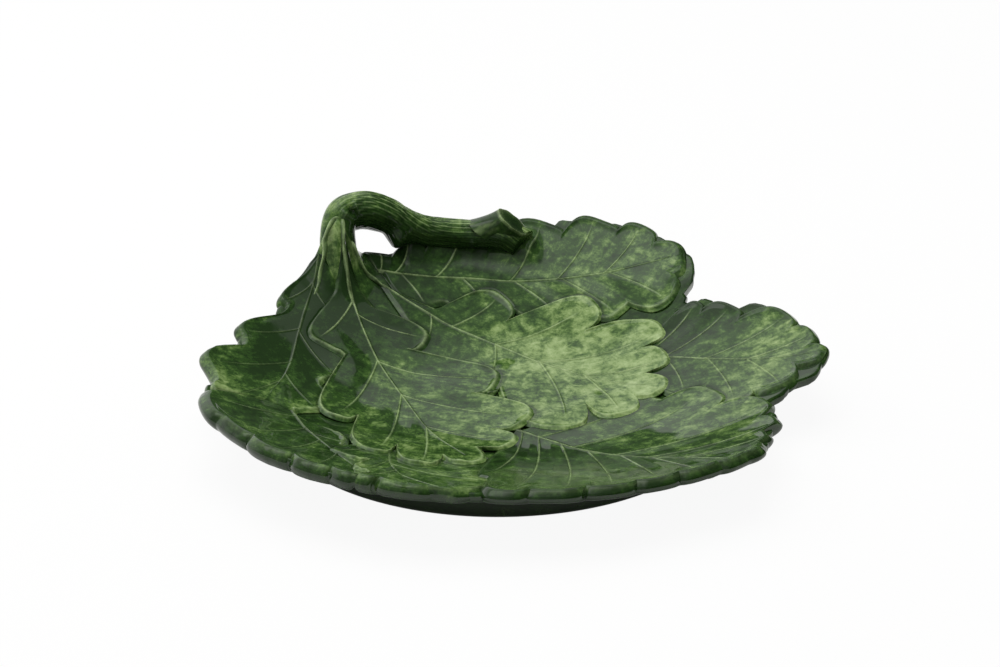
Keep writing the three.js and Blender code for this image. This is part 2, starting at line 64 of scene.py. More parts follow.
# Lips are the heights of the turned-up edge on the two sides, and notch_fill says how far the
# rim's roll fills the notches. The lights and the wear say how thin the glaze lies on edges, on
# veins, along each side from the leaf's foot to its end, and towards the lobes' tips.
LEAVES = [
    {
        "name": "leaf_right",
        "midrib": [(55, 38), (76, 29), (95, 20), (117, 10), (133, 4)],
        "end": (141.5, 1),
        "necks": [(60, 46), (60, 28)],
        "sides": [
            [
                ((88, 71.5), (90.5, 65), (60, 36)),
                ((104.5, 62), (107, 51), (69, 32)),
                ((129.5, 43), (129.5, 31), (88, 23.5)),
                ((139, 21), (137, 12), (106, 15)),
            ],
            [
                ((76, -6), (84, -12), (70, 32)),
                ((97, -25), (106, -17), (89, 23)),
                ((118, -19.5), (126, -5.5), (106, 15)),
            ],
        ],
        "lips": (0.70, 0.60),
        "edge_light": 0.45,
        "vein_light": 0.65,
        "notch_fill": 0.15,
        "wear": [(-0.09, 0.025, 0.00), (-0.08, 0.01, 0.00)],
        "tip_wear": 0.02,
    },
    {
        "name": "leaf_left",
        "midrib": [(-94, 84), (-98, 62), (-100.5, 40), (-102, 18), (-104, 0), (-108, -18)],
        "end": (-112, -44),
        "necks": [(-99, 83), (-90, 82)],
        "sides": [
            [
                ((-110.5, 54), (-111.5, 43), (-96, 74)),
                ((-129, 24), (-125, 11), (-100.5, 40)),
                ((-140.5, -11), (-134, -31), (-102.5, 12)),
                ((-128, -42), (-121, -42), (-105, -8)),
            ],
            [
                ((-84, 56), (-86, 40), (-97, 72)),
                ((-80, 8), (-86, -6), (-100.5, 38)),
                ((-86, -28), (-96, -36), (-104, 0)),
            ],
        ],
        "lips": (0.80, 0.80),
        "edge_light": 0.40,
        "vein_light": 0.20,
        "notch_fill": 0.35,
        "wear": [(-0.10, -0.11, 0.02), (-0.10, -0.12, -0.02)],
        "tip_wear": 0.12,
    },
    {
        "name": "leaf_back",
        "midrib": [
            (-66, 93), (-48, 94), (-25, 95.5), (0, 95), (22, 96), (45, 97), (67, 99), (76, 100),
        ],
        "end": (84.5, 100.5),
        "necks": [(-75, 103), (-62, 88)],
        "sides": [
            [
                ((-66, 106), (-60, 106), (-65, 93)),
                ((-51, 113), (-43, 109), (-58, 93.5)),
                ((-25, 121), (-12, 114.5), (-38, 94)),
                ((14, 133), (25, 125), (-2, 95)),
                ((41, 132.5), (53, 123.5), (21, 96)),
                ((64, 125), (70, 113), (44, 97)),
            ],
            [
                ((-42, 74), (-30, 76), (-55, 93.5)),
                ((-10, 72), (0, 76), (-25, 95.5)),
                ((22, 72), (30, 76), (0, 95)),
                ((50, 68), (56, 74), (23, 96)),
                ((75, 71.5), (79.5, 86), (46, 97)),
            ],
        ],
        "lips": (0.60, 0.80),
        "edge_light": 0.45,
        "vein_light": 0.65,
        "notch_fill": 0.15,
        "wear": [(-0.09, -0.015, 0.01), (-0.08, 0.01, 0.01)],
        "tip_wear": 0.00,
    },
    {
        "name": "leaf_front_left",
        "midrib": [(-98, -37), (-92, -50), (-85, -62), (-75, -80), (-68, -94)],
        "end": (-68, -117),
        "necks": [(-110, -32), (-90, -43)],
        "sides": [
            [
                ((-137, -46), (-125, -67), (-96, -42)),
                ((-120, -78), (-111, -82), (-91, -52)),
                ((-103, -97), (-92, -98), (-84, -64)),
                ((-85, -109.5), (-75, -108), (-76, -79)),
            ],
            [
                ((-72, -60), (-66, -74), (-88, -57)),
                ((-54, -92), (-56, -104), (-78, -75)),
            ],
        ],
        "lips": (0.70, 1.10),
        "edge_light": 0.50,
        "vein_light": 0.30,
        "notch_fill": 0.60,
        "wear": [(-0.03, -0.02, -0.02), (-0.03, -0.02, 0.00)],
        "tip_wear": 0.03,
    },
    {
        "name": "leaf_front",
        "midrib": [(-56, -50), (-54.5, -66), (-53, -84), (-49, -98), (-45, -110)],
        "end": (-46, -123.5),
        "necks": [(-62, -54), (-48, -52)],
        "sides": [
            [
                ((-79, -77), (-63, -84), (-55.5, -56)),
                ((-66, -104), (-62, -110), (-53.5, -78)),
                ((-66, -117.5), (-57, -116), (-50, -94)),
            ],
            [
                ((-6, -66), (-10, -80), (-55, -60)),
                ((-2, -97), (-9, -110), (-53, -84)),
                ((-24, -124.5), (-34, -118.5), (-48, -100)),
            ],
        ],
        "lips": (1.30, 0.90),
        "edge_light": 0.70,
        "vein_light": 0.40,
        "notch_fill": 0.60,
        "wear": [(-0.03, 0.02, 0.01), (-0.02, 0.02, 0.00)],
        "tip_wear": 0.03,
    },
    {
        "name": "leaf_front_right",
        "midrib": [(0, -30), (10, -37), (20, -45), (30, -54), (47, -66), (66, -76), (88, -83)],
        "end": (104.5, -84),
        "necks": [(6, -27), (-6, -42)],
        "sides": [
            [
                ((60, 3), (68, -5), (10, -37)),
                ((88, -1.5), (91, -21), (24, -49)),
                ((113.5, -30), (105, -42), (42, -63)),
                ((115, -53), (104, -60), (56, -71)),
                ((109, -68), (103, -75), (72, -78)),
            ],
            [
                ((-15, -92), (-14, -106), (3, -32)),
                ((-6, -125), (4, -119), (10, -37)),
                ((17, -124), (27, -116), (20, -45)),
                ((38, -120), (48, -111), (31, -55)),
                ((58, -113), (66, -104), (45, -65)),
                ((76, -105), (83, -96), (58, -72)),
                ((92, -97), (97, -90), (72, -78)),
            ],
        ],
        "lips": (0.70, 0.60),
        "edge_light": 0.45,
        "vein_light": 0.60,
        "notch_fill": 0.55,
        "wear": [(-0.03, 0.00, -0.03), (-0.06, -0.05, 0.00)],
        "tip_wear": 0.02,
    },
    {
        "name": "leaf_middle",
        "midrib": [
            (-66, 86), (-50, 75.5), (-30, 63.5), (-9, 52), (11, 37), (31, 23.5), (50, 13), (60, 8.5),
        ],
        "end": (69, 4),
        "necks": [(-36, 74), (-50, 60)],
        "sides": [
            [
                ((-6, 88), (-2, 71), (-30, 63.5)),
                ((39, 81), (36, 62), (-9, 52)),
                ((71.5, 53), (60, 42), (11, 37)),
                ((72.5, 31), (62, 21), (32, 23)),
            ],
            [
                ((-46, 38), (-36, 28), (-40, 69)),
                ((-18, 4), (-8, 8), (-9, 52)),
                ((22, -30.5), (32, -9), (12, 36)),
                ((48, -18.5), (55, -2), (32, 23)),
            ],
        ],
        "lips": (1.00, 0.90),
        "edge_light": 0.60,
        "vein_light": 0.75,
        "notch_fill": 0.00,
        "wear": [(-0.10, 0.065, 0.08), (-0.07, 0.03, 0.075)],
        "tip_wear": 0.00,
    },
    {
        "name": "leaf_centre",
        "midrib": [
            (-82, 88), (-77.5, 70), (-70, 47), (-63.5, 29), (-52, 2), (-40, -28), (-29, -48), (-22, -60),
        ],
        "end": (-18.5, -72),
        "necks": [(-66, 69), (-87, 70)],
        "sides": [
            [
                ((-39.5, 53), (-47, 42), (-75, 61)),
                ((-6, 20), (-17, 4), (-63.5, 29)),
                ((8.5, -17), (-8, -30), (-52, 2)),
                ((1.5, -41), (-15, -49.5), (-40, -27)),
            ],
            [
                ((-94, 33), (-80, 25), (-77, 69)),
                ((-81.5, -32.5), (-71, -28), (-64, 30)),
                ((-61, -68.5), (-52, -56), (-52, 2)),
                ((-41, -79.5), (-32, -65), (-40, -29)),
            ],
        ],
        "lips": (0.90, 1.50),
        "edge_light": 0.70,
        "vein_light": 0.75,
        "notch_fill": 0.00,
        "wear": [(-0.12, 0.005, 0.035), (-0.12, -0.01, 0.03)],
        "tip_wear": 0.03,
    },
]


def bowl(x, y):
    # Height of the shell's inside: a flat floor and a wall that curves up to an uneven rim.
    half_depth = np.where(y < 0, HALF_DEPTH_FRONT, HALF_DEPTH_BACK)
    turn = np.arctan2(y / half_depth, x / HALF_WIDTH)
    reach = np.hypot(x / HALF_WIDTH, y / half_depth)
    mean = (RIM_FRONT + RIM_RIGHT + RIM_BACK + RIM_LEFT) / 4
    rim = mean + (RIM_RIGHT - RIM_LEFT) / 2 * np.cos(turn)
    rim = rim + (RIM_BACK - RIM_FRONT) / 2 * np.sin(turn)
    rim = rim + (RIM_RIGHT + RIM_LEFT - RIM_FRONT - RIM_BACK) / 4 * np.cos(2 * turn)
    out = np.maximum(0, (reach - FLAT_SHARE) / (1 - FLAT_SHARE))
    return FLOOR_TOP + (rim - FLOOR_TOP) * out ** WALL_CURVE


def read_off(want, at, points):
    # Points in between those of a line, at the wanted shares or lengths along it.
    return np.stack([np.interp(want, at, points[:, k]) for k in range(points.shape[1])], axis=1)


def smooth_line(points, count):
    # A smooth curve through the points, cut into even steps.
    knots = np.array(points, dtype=float)
    padded = np.vstack([2 * knots[0] - knots[1], knots, 2 * knots[-1] - knots[-2]])
    t = np.linspace(0, 1, LINE_STEPS, endpoint=False)[:, None]
    stretches = []
    for i in range(len(knots) - 1):
        a, b, c, d = padded[i:i + 4]
        cubic = (3 * b - 3 * c + d - a) * t ** 3 + (2 * a - 5 * b + 4 * c - d) * t ** 2
        cubic = cubic + (c - a) * t
        stretches.append(b + cubic / 2)
    line = np.vstack(stretches + [knots[-1:]])
    run = np.concatenate([[0], np.cumsum(np.linalg.norm(np.diff(line, axis=0), axis=1))])
    return read_off(np.linspace(0, run[-1], count), run, line)


def share_near(line, point):
    gaps = np.linalg.norm(line - np.array(point, dtype=float), axis=1)
    return int(gaps.argmin()) / (len(line) - 1)


def flank(notch, tip, root, count):
    # One side of a lobe, from the notch round to the tip.
    notch, tip, root = (np.array(p, dtype=float) for p in (notch, tip, root))
    way = (tip - root) / np.linalg.norm(tip - root)
    high = (tip - notch) @ way
    wide = tip - notch - high * way
    controls = [notch, notch + LOBE_FULLNESS * high * way, tip - LOBE_FULLNESS * wide, tip]
    t = np.linspace(0, 1, count)[:, None]
    weights = [(1 - t) ** 3, 3 * t * (1 - t) ** 2, 3 * t ** 2 * (1 - t), t ** 3]
    return sum(w * c for w, c in zip(weights, controls))


def leaf_side(midrib, neck, lobes, end, count):
    # The edge of half a leaf, and the share of the midrib that each of its points belongs to.
    neck_share = NECK_SHARE * share_near(midrib, neck)
    veins = [share_near(midrib, lobe[2]) for lobe in lobes]
    shares = [np.linspace(0, neck_share, count)]
    t = np.linspace(0, 1, count)[:, None]
    places = [midrib[0] + t * (np.array(neck, dtype=float) - midrib[0])]
    notch = neck
    notch_share = neck_share
    for i, (tip, next_notch, _) in enumerate(lobes):
        root = midrib[int(round(veins[i] * (len(midrib) - 1)))]
        next_share = (veins[i] + (veins[i + 1] if i + 1 < len(veins) else 1.0)) / 2
        places.append(flank(notch, tip, root, count)[1:])
        shares.append(np.linspace(notch_share, veins[i], count)[1:])
        places.append(flank(next_notch, tip, root, count)[::-1][1:])
        shares.append(np.linspace(veins[i], next_share, count)[1:])
        notch = next_notch
        notch_share = next_share
    places.append(flank(notch, end, midrib[-1], count)[1:])
    shares.append(np.linspace(notch_share, 1.0, count)[1:])
    share = np.concatenate(shares)
    share = share + np.linspace(0, 1e-6, len(share))
    share = np.maximum.accumulate(share)
    return share / share[-1], np.vstack(places), veins


MAP_STEP = 1.5
MAP_LOW = np.array([-153.0, -141.0])
MAP_COUNT = (205, 193)
map_x = MAP_LOW[0] + MAP_STEP * np.arange(MAP_COUNT[0])
map_y = MAP_LOW[1] + MAP_STEP * np.arange(MAP_COUNT[1])


def inside_map(outline):
    # How far inside an outline each point of the map lies, less than nothing outside it.
    x, y = np.meshgrid(map_x, map_y, indexing="ij")
    nearest = np.full(x.shape, FAR)
    inside = np.zeros(x.shape, dtype=bool)
    for a, b in zip(outline, np.roll(outline, -1, axis=0)):
        step = b - a
        along = ((x - a[0]) * step[0] + (y - a[1]) * step[1]) / max(step @ step, 1e-9)
        along = np.clip(along, 0, 1)
        gap = np.hypot(x - a[0] - along * step[0], y - a[1] - along * step[1])
        nearest = np.minimum(nearest, gap)
        if abs(step[1]) > 1e-9:
            crosses = (a[1] > y) != (b[1] > y)
            inside ^= crosses & (x < a[0] + (y - a[1]) * step[0] / step[1])
    return np.where(inside, nearest, -nearest)


def on_map(field, x, y):
    u = np.clip((x - MAP_LOW[0]) / MAP_STEP, 0, MAP_COUNT[0] - 1.001)
    v = np.clip((y - MAP_LOW[1]) / MAP_STEP, 0, MAP_COUNT[1] - 1.001)
    i = u.astype(int)
    j = v.astype(int)
    u = u - i
    v = v - j
    low = field[i, j] * (1 - u) + field[i + 1, j] * u
    high = field[i, j + 1] * (1 - u) + field[i + 1, j + 1] * u
    return low * (1 - v) + high * v


def ramp(value, low, high):
    t = np.clip((value - low) / (high - low), 0, 1)
    return t * t * (3 - 2 * t)


for leaf in LEAVES:
    leaf["line"] = smooth_line(leaf["midrib"], MIDRIB_POINTS)
    leaf["edges"] = [
        leaf_side(leaf["line"], leaf["necks"][side], leaf["sides"][side], leaf["end"], FLANK_POINTS)
        for side in (0, 1)
    ]
    outline = np.vstack([leaf["edges"][0][1], leaf["edges"][1][1][::-1]])
    leaf["map"] = inside_map(outline)

# Leaves: thin slabs in low relief, draped over the bowl and over each other and drawn up
# to the twig. Veins and midrib stand a little proud, edges are rounded with a wet finger,
# and at the rim the clay rolls over the shell's edge. Brushed with translucent green glaze.
LEAF_THICK = 1.1
LEAF_STEP = 0.6
STEP_REACH = 12.0
STEP_CLEAR = 0.5
SLIP_BED = 0.3
BED_UNDER = 0.4
PRESSED = 0.7
PRESSED_DOWN = 0.35
PRESSED_REACH = 4.0
VEIN_HIGH = 0.26
VEIN_HALF = 0.34
VEIN_GUTTER = 0.85
VEIN_FADE = (0.55, 0.88)
VEIN_BOW = 0.07
MIDRIB_HIGH = 0.5
MIDRIB_HALF = 0.5
MIDRIB_TAPER = 0.6
MIDRIB_GUTTER = 1.0
MIDRIB_LIGHT = 1.3
QUILT_HIGH = 0.2
QUILT_HALF = 5.0
QUILT_INSET = 7.0
WAVE_HIGH = 0.2
WAVE_LONG = (11.0, 13.0)
WAVE_SHIFT = (1.3, 0.7)
WAVE_INSET = 8.0
EDGE_ROUND = 0.7
EDGE_SLOPE = 0.7
EDGE_WIDE = 3.4
LIP_INSET = 3.0
LIP_HALF = 1.4
LIP_START = (0.05, 0.22)
LIP_UNEVEN = 0.35
LIP_RIM_LOSS = 0.8
RIM_ROUND = 3.6
RIM_DROOP = 1.5
DROOP_INSET = 8.0
RIM_BEAD = 1.2
BEAD_INSET = 4.6
BEAD_HALF = 2.3
RIM_EXTRA_LEFT = 3.4
RIM_LEFT_START = 0.3
RIM_LOOK = 1.5
RIM_LEAST = 0.8
RIM_EASE = 4
NOTCH_WINDOW = 9

# The glaze's wear, and its pools with painted shade, by the inset from the edge in millimetres,
# by the share of the way out from the midrib, or by how far the surface faces up.
RIM_DARKER = 0.05
RIM_DARK_INSET = (2, 9)
SIDE_BLEND = 0.3
TIP_REACH = (0.4, 1.0)
LIP_LIGHT_HALF = 0.9
LIP_LIGHT_RIM_LOSS = 0.75
TOP_FACING = (0.2, 1.0)
SIDE_FACING = (-0.3, 1.1)
SIDE_POOL_AND_SHADE = 0.85
OVERLAP_POOL_AND_SHADE = 0.85
OVERLAP_POOL_AND_SHADE_WIDE = 1.3
GUTTER_POOL_AND_SHADE = 0.3

# The mesh: rows across a leaf, columns along it, closer beside the veins.
COLUMN_STEP = 0.95
EDGE_SAMPLES = 4000
VEIN_COLUMNS = (-6, -3.5, -2, -1, 0, 1, 2, 3.5, 6)
FULL_REACH = 18.0
NEAR_ROWS = [0, 0.25, 0.5, 0.8, 1.2, 1.8]
EDGE_ROWS = [8.4, 7.0, 5.8, 4.8, 4.0, 3.3, 2.7, 2.1, 1.6]
RIM_ROWS = [9.5, 8.8, 8.2, 7.7, 7.2, 6.8, 6.5, 6.2, 5.95]
ROWS_BETWEEN = 20
BEFORE_ARC = (1.6, 1.25)
ARC_ROWS = 13
UNDER_ROWS = (0.12, 0.4, 0.75, 1.0)
MERGE_NEAR = 1e-6
SLIVER = 1e-7

# The clay drawn up to the twig's leg, and along the twig where it lies on the back rim.
LEG_PLACE = (-84.0, 92.0)
LEG_LIFT = 24.0
LEG_WIDE = 13.5
LEG_NARROW = 8.0
LEG_WEAR = 0.08
SEAT_LINE = np.array([
    (-56, 111, 8), (-50, 112.3, 9), (-41, 114, 7), (-26, 115.5, 3.6), (-13, 115.5, 3.4), (7, 114, 4),
])
SEAT_HALF = 7.0
SEAT_START = (-56.5, -50)
SEAT_END = (6, 15)


def drawn_up(x, y):
    across = (x - LEG_PLACE[0]) / np.where(x > LEG_PLACE[0], LEG_NARROW, LEG_WIDE)
    along = (y - LEG_PLACE[1]) / np.where(y > LEG_PLACE[1], LEG_NARROW, LEG_WIDE)
    leg = LEG_LIFT * np.exp(-across ** 2 - along ** 2)
    line, high = (np.interp(x, SEAT_LINE[:, 0], SEAT_LINE[:, k]) for k in (1, 2))
    seat = high * np.exp(-((y - line) / SEAT_HALF) ** 2)
    seat = seat * ramp(x, *SEAT_START) * (1 - ramp(x, *SEAT_END))
    return np.maximum(leg, seat)


def drape(order, x, y):
    # Height of the bed that a leaf lies on: the bowl and the leaves laid before it.
    z = bowl(x, y) + SLIP_BED + drawn_up(x, y)
    for lower in LEAVES[:order]:
        z = z + LEAF_STEP * ramp(on_map(lower["map"], x, y), -STEP_REACH, -STEP_CLEAR)
    return z


def leaf_columns(leaf):
    fine = np.linspace(0, 1, EDGE_SAMPLES + 1)
    longest = np.zeros(EDGE_SAMPLES)
    for share, place, _ in leaf["edges"]:
        edge = read_off(fine, share, place)
        longest = np.maximum(longest, np.linalg.norm(np.diff(edge, axis=0), axis=1))
    run = np.concatenate([[0], np.cumsum(longest)])
    columns = np.interp(np.linspace(0, run[-1], int(run[-1] / COLUMN_STEP)), run, fine)
    veins = np.array(leaf["edges"][0][2] + leaf["edges"][1][2])
    close = np.concatenate([veins + k / 1000 for k in VEIN_COLUMNS])
    return np.unique(np.concatenate([columns, close]).clip(0, 1).round(5))


def leaf_rows(length, rim):
    # Distances out from the midrib of the rows on the flat of the leaf.
    scale = np.minimum(1, length / FULL_REACH)
    far = [edge + (roll - edge) * rim for edge, roll in zip(EDGE_ROWS, RIM_ROWS)]
    rows = [d * scale for d in NEAR_ROWS]
    low = NEAR_ROWS[-1] * scale
    high = length - far[0] * scale
    rows += [low + (high - low) * k / (ROWS_BETWEEN + 1) for k in range(1, ROWS_BETWEEN + 1)]
    rows += [length - d * scale for d in far]
    return rows, scale


def rim_share(leaf, edge, reach, length):
    # One where nothing else lies just outside a column's end, so that it is on the rim.
    outside = edge + RIM_LOOK * reach / length[:, None]
    cover = np.hypot(outside[:, 0] / HALF_WIDTH, outside[:, 1] / HALF_DEPTH_BACK) < RIM_LEAST
    for other in LEAVES:
        if other is not leaf:
            cover = cover | (on_map(other["map"], outside[:, 0], outside[:, 1]) > 0)
    bare = np.pad((~cover).astype(float), RIM_EASE, mode="edge")
    window = 2 * RIM_EASE + 1
    return np.convolve(bare, np.ones(window) / window, mode="valid")


windows = np.lib.stride_tricks.sliding_window_view


def fill_notches(edge, rim, fill):
    # The roll of clay along the rim half fills the notches between its lobes.
    out = np.linalg.norm(edge, axis=1)
    window = NOTCH_WINDOW
    padded = np.pad(out, 2 * window, mode="edge")
    crest = windows(padded, 2 * window + 1).max(axis=1)
    crest = np.convolve(crest, np.ones(2 * window + 1) / (2 * window + 1), mode="valid")
    edge = edge * (1 + fill * rim * np.maximum(crest - out, 0) / out)[:, None]
    padded = np.pad(edge, ((window // 2, window // 2), (0, 0)), mode="edge")
    eased = windows(padded, window, axis=0).mean(axis=2)
    return edge + (eased - edge) * (fill * rim)[:, None]


def leaf_half(leaf, order, columns, root, way, midrib_length, side):
    # One side of a leaf as rows from the midrib over the top, round the edge and back under.
    share, place, veins = leaf["edges"][side]
    edge = read_off(columns, share, place)
    reach = edge - root
    length = np.maximum(np.linalg.norm(reach, axis=1), 1e-3)
    rim = rim_share(leaf, edge, reach, length)
    edge = fill_notches(edge, rim, leaf["notch_fill"])
    reach = edge - root
    length = np.maximum(np.linalg.norm(reach, axis=1), 1e-3)
    rows, scale = leaf_rows(length, rim)
    rounding = (EDGE_ROUND + (RIM_ROUND - EDGE_ROUND) * rim) * scale

    arc = np.radians(np.linspace(90, -90, ARC_ROWS))
    outs = [r / length for r in rows]
    outs += [1 - k * rounding / length for k in BEFORE_ARC]
    bends = [np.pi / 2] * len(outs)
    for angle in arc:
        outs.append(1 - rounding * (1 - np.cos(angle)) / length)
        bends.append(angle)
    edge_rows = len(outs)
    for inward in UNDER_ROWS:
        outs.append((1 - inward) * np.ones_like(length))
        bends.append(-np.pi / 2)
    out = np.array(outs)
    bend = np.array(bends)[:, None]
    bow = VEIN_BOW * 4 * out * (1 - out) * length
    points = root + out[:, :, None] * reach + bow[:, :, None] * way
    x = points[:, :, 0]
    y = points[:, :, 1]
    inset = (1 - out) * length
    from_rib = out * length

    # Veins run from the midrib to each lobe's tip and sink in before they reach it.
    vein = np.zeros_like(out)
    beside = np.zeros_like(out)
    between = np.full_like(out, FAR)
    lean = np.gradient(points, axis=0)
    lean = lean / np.maximum(np.linalg.norm(lean, axis=2), 1e-9)[:, :, None]
    fade = 1 - ramp(out, *VEIN_FADE)
    for start in veins:
        column = int(np.abs(columns - start).argmin())
        gap = points - points[:, column:column + 1]
        along = lean[:, column:column + 1]
        off = np.abs(gap[:, :, 0] * along[:, :, 1] - gap[:, :, 1] * along[:, :, 0])
        vein = np.maximum(vein, np.exp(-(off / VEIN_HALF) ** 2) * fade)
        beside = np.maximum(beside, np.exp(-((off - VEIN_GUTTER) / VEIN_HALF) ** 2) * fade)
        between = np.minimum(between, off)
    rib = np.exp(-(from_rib / MIDRIB_HALF) ** 2) * (1 - MIDRIB_TAPER * columns)

    # Where an upper leaf lies on it, a leaf is flat and pressed down, and near that leaf's edge it is
    # darkened: pooled glaze and a painted shadow.
    hidden = np.zeros_like(out)
    pool_and_shade = np.zeros_like(out)
    for upper in LEAVES[order + 1:]:
        depth = on_map(upper["map"], x, y)
        hidden = np.maximum(hidden, ramp(depth, 0, PRESSED_REACH))
        pool_and_shade = np.maximum(pool_and_shade, OVERLAP_POOL_AND_SHADE * np.exp(-np.abs(depth) / OVERLAP_POOL_AND_SHADE_WIDE))

    level = drape(order, x, y)
    wave = WAVE_HIGH * np.sin(x / WAVE_LONG[0] + WAVE_SHIFT[0] * order)
    wave = wave * np.sin(y / WAVE_LONG[1] + WAVE_SHIFT[1] * order)
    relief = LEAF_THICK + wave * ramp(inset, 0, WAVE_INSET)
    relief = relief + VEIN_HIGH * vein + MIDRIB_HIGH * rib
    quilt = QUILT_HIGH * (1 - np.exp(-(between / QUILT_HALF) ** 2))
    relief = relief + quilt * ramp(inset, 0, QUILT_INSET)
    lip = np.exp(-((inset - LIP_INSET * scale) / (LIP_HALF * scale)) ** 2) * scale
    lip = lip * (1 - LIP_RIM_LOSS * rim) * ramp(columns, *LIP_START)
    uneven = LIP_UNEVEN * np.sin(37 * columns + order) * np.sin(61 * columns + 2 * side)
    lip = lip * (1 - LIP_UNEVEN + uneven)
    relief = relief + leaf["lips"][side] * lip
    relief = relief - EDGE_SLOPE * (1 - rim) * (1 - ramp(inset, 0, EDGE_WIDE))
    relief = relief - RIM_DROOP * rim * (1 - ramp(inset, 0, DROOP_INSET))
    relief = relief + RIM_BEAD * rim * np.exp(-((inset - BEAD_INSET) / BEAD_HALF) ** 2) * scale
    relief = relief * (1 - PRESSED * hidden) - PRESSED_DOWN * hidden
    top = level + relief
    leftness = np.clip(-x / HALF_WIDTH, 0, 1)
    leftness = leftness * np.clip(RIM_LEFT_START - y / HALF_DEPTH_BACK, 0, 1)
    wall_foot = bowl(x, y) - SHELL_WALL - RIM_EXTRA_LEFT * leftness
    seat = level - BED_UNDER
    foot = seat + (wall_foot - seat) * rim
    z = top - (top - foot) / 2 * (1 - np.sin(bend))
    z[edge_rows:] = level[edge_rows:]

    # Glaze: thin on ridges and lips; under edges, beside veins and down the rim's wall it is darkened,
    # partly pooled glaze and partly painted shade on faces turned away from the top.
    own, other = (np.interp(columns, [0, 0.5, 1], leaf["wear"][k]) for k in (side, 1 - side))
    wear = own + (other - own) / 2 * (1 - ramp(out, 0, SIDE_BLEND))
    wear = wear + leaf["tip_wear"] * ramp(out, *TIP_REACH)
    wear = wear + LEG_WEAR * drawn_up(x, y) / LEG_LIFT
    wear = wear - RIM_DARKER * rim * (1 - ramp(inset, *RIM_DARK_INSET))
    thin = leaf["vein_light"] * np.maximum(vein, np.minimum(1, MIDRIB_LIGHT * rib))
    lip_light = leaf["edge_light"] * np.exp(-((inset - LIP_INSET * scale) / LIP_LIGHT_HALF) ** 2)
    lip_light = lip_light * (1 - LIP_LIGHT_RIM_LOSS * rim) * ramp(columns, *LIP_START)
    thin = np.maximum(thin, lip_light) * ramp(bend + 0 * out, *TOP_FACING)
    gutter = np.exp(-((from_rib - MIDRIB_GUTTER) / MIDRIB_HALF) ** 2)
    pool_and_shade = np.maximum(pool_and_shade, GUTTER_POOL_AND_SHADE * np.maximum(beside, gutter))
    pool_and_shade = np.maximum(pool_and_shade, SIDE_POOL_AND_SHADE * (1 - ramp(bend + 0 * out, *SIDE_FACING)))
    grain = np.dstack([from_rib, columns * midrib_length + 0 * out, 0 * out])
    return {"place": np.dstack([x, y, z]), "thin": thin, "pool_and_shade": pool_and_shade, "wear": wear, "grain": grain}


def leaf_piece(leaf, order):
    # Both halves of a leaf, joined along the midrib and at its two ends.
    columns = leaf_columns(leaf)
    line = leaf["line"]
    along = np.linspace(0, 1, len(line))
    way = np.gradient(line, axis=0)
    way = way / np.linalg.norm(way, axis=1)[:, None]
    root = read_off(columns, along, line)
    way = read_off(columns, along, way)
    midrib_length = np.linalg.norm(np.diff(line, axis=0), axis=1).sum()
    first, second = (leaf_half(leaf, order, columns, root, way, midrib_length, side) for side in (0, 1))
    for key in first:
        for column in (0, -1):
            shared = (first[key][:, column] + second[key][:, column]) / 2
            first[key][:, column] = shared
            second[key][:, column] = shared
    sheet = {key: np.concatenate([first[key][::-1], second[key][1:]]) for key in first}
    return warped_grid(leaf["name"], sheet)


def warped_grid(name, sheet):
    # A flat grid laid on to the given places, in millimetres, and closed where they meet.
    rows, columns = sheet["thin"].shape
    bm = bmesh.new()
    bmesh.ops.create_grid(bm, x_segments=columns - 1, y_segments=rows - 1, size=1)
    layers = {key: bm.verts.layers.float.new(key) for key in ("thin", "pool_and_shade", "wear")}
    grain_layer = bm.verts.layers.float_vector.new("grain")
    metres = sheet["place"] * MM
    metres[:, :, :2] -= PLAN_MIDDLE * MM
    grain = sheet["grain"] * MM
    for vert in bm.verts:
        column = round((vert.co.x + 1) / 2 * (columns - 1))
        row = round((vert.co.y + 1) / 2 * (rows - 1))
        vert.co = metres[row, column]
        vert[grain_layer] = grain[row, column]
        for key, layer in layers.items():
            vert[layer] = sheet[key][row, column]
    bmesh.ops.remove_doubles(bm, verts=bm.verts, dist=MERGE_NEAR)
    bmesh.ops.dissolve_degenerate(bm, edges=bm.edges, dist=SLIVER)
    bmesh.ops.recalc_face_normals(bm, faces=bm.faces)
    for face in bm.faces:
        face.smooth = True
    mesh = bpy.data.meshes.new(name)
    bm.to_mesh(mesh)
    bm.free()
    piece = bpy.data.objects.new(name + "_clay", mesh)
    bpy.context.scene.collection.objects.link(piece)
    return piece


def linear(text):
    parts = [int(text[i:i + 2], 16) / 255 for i in (1, 3, 5)]
    return [p / 12.92 if p <= 0.04045 else ((p + 0.055) / 1.055) ** 2.4 for p in parts] + [1.0]


def add(tree, kind, settings=(), links=()):
    node = tree.nodes.new("ShaderNode" + kind)
    for name, value in dict(settings).items():
        if isinstance(name, int) or name in node.inputs:
            node.inputs[name].default_value = value
        else:
            setattr(node, name, value)
    for name, source in dict(links).items():
        tree.links.new(node.inputs[name], source)
    return node


# Translucent green lead-type glaze over pale earthenware: deep where it pools in hollows and where
# shade is painted in under edges, on undersides and under the dish, light where it runs thin on
# veins and lips, and clouded where the brush laid it unevenly. Sizes are in millimetres.
GLAZE_ROUGH = 0.04
GLAZE_IOR = 1.5
CLOUD_SIZE = 7
STREAK_LONG = 18
STREAK_WIDE = 4
STREAK_SHARE = 0.24
SPECK_SIZE = 1.8
SPECK_SHARE = 0.14
DRIFT_SIZE = 34
DRIFT_SHARE = 0.12
EVENED_SHARE = 0.25
RIPPLE_SIZE = 13
RIPPLE_HIGH = 0.5
THIN_GREEN = "#a9bf86"
POOLED_AND_SHADED_GREEN = "#13290a"
GLAZE_STOPS = [
    (0.42, "#22361a"), (0.49, "#334f23"), (0.535, "#567339"), (0.585, "#869e60"), (0.65, "#a5ba81"),
]


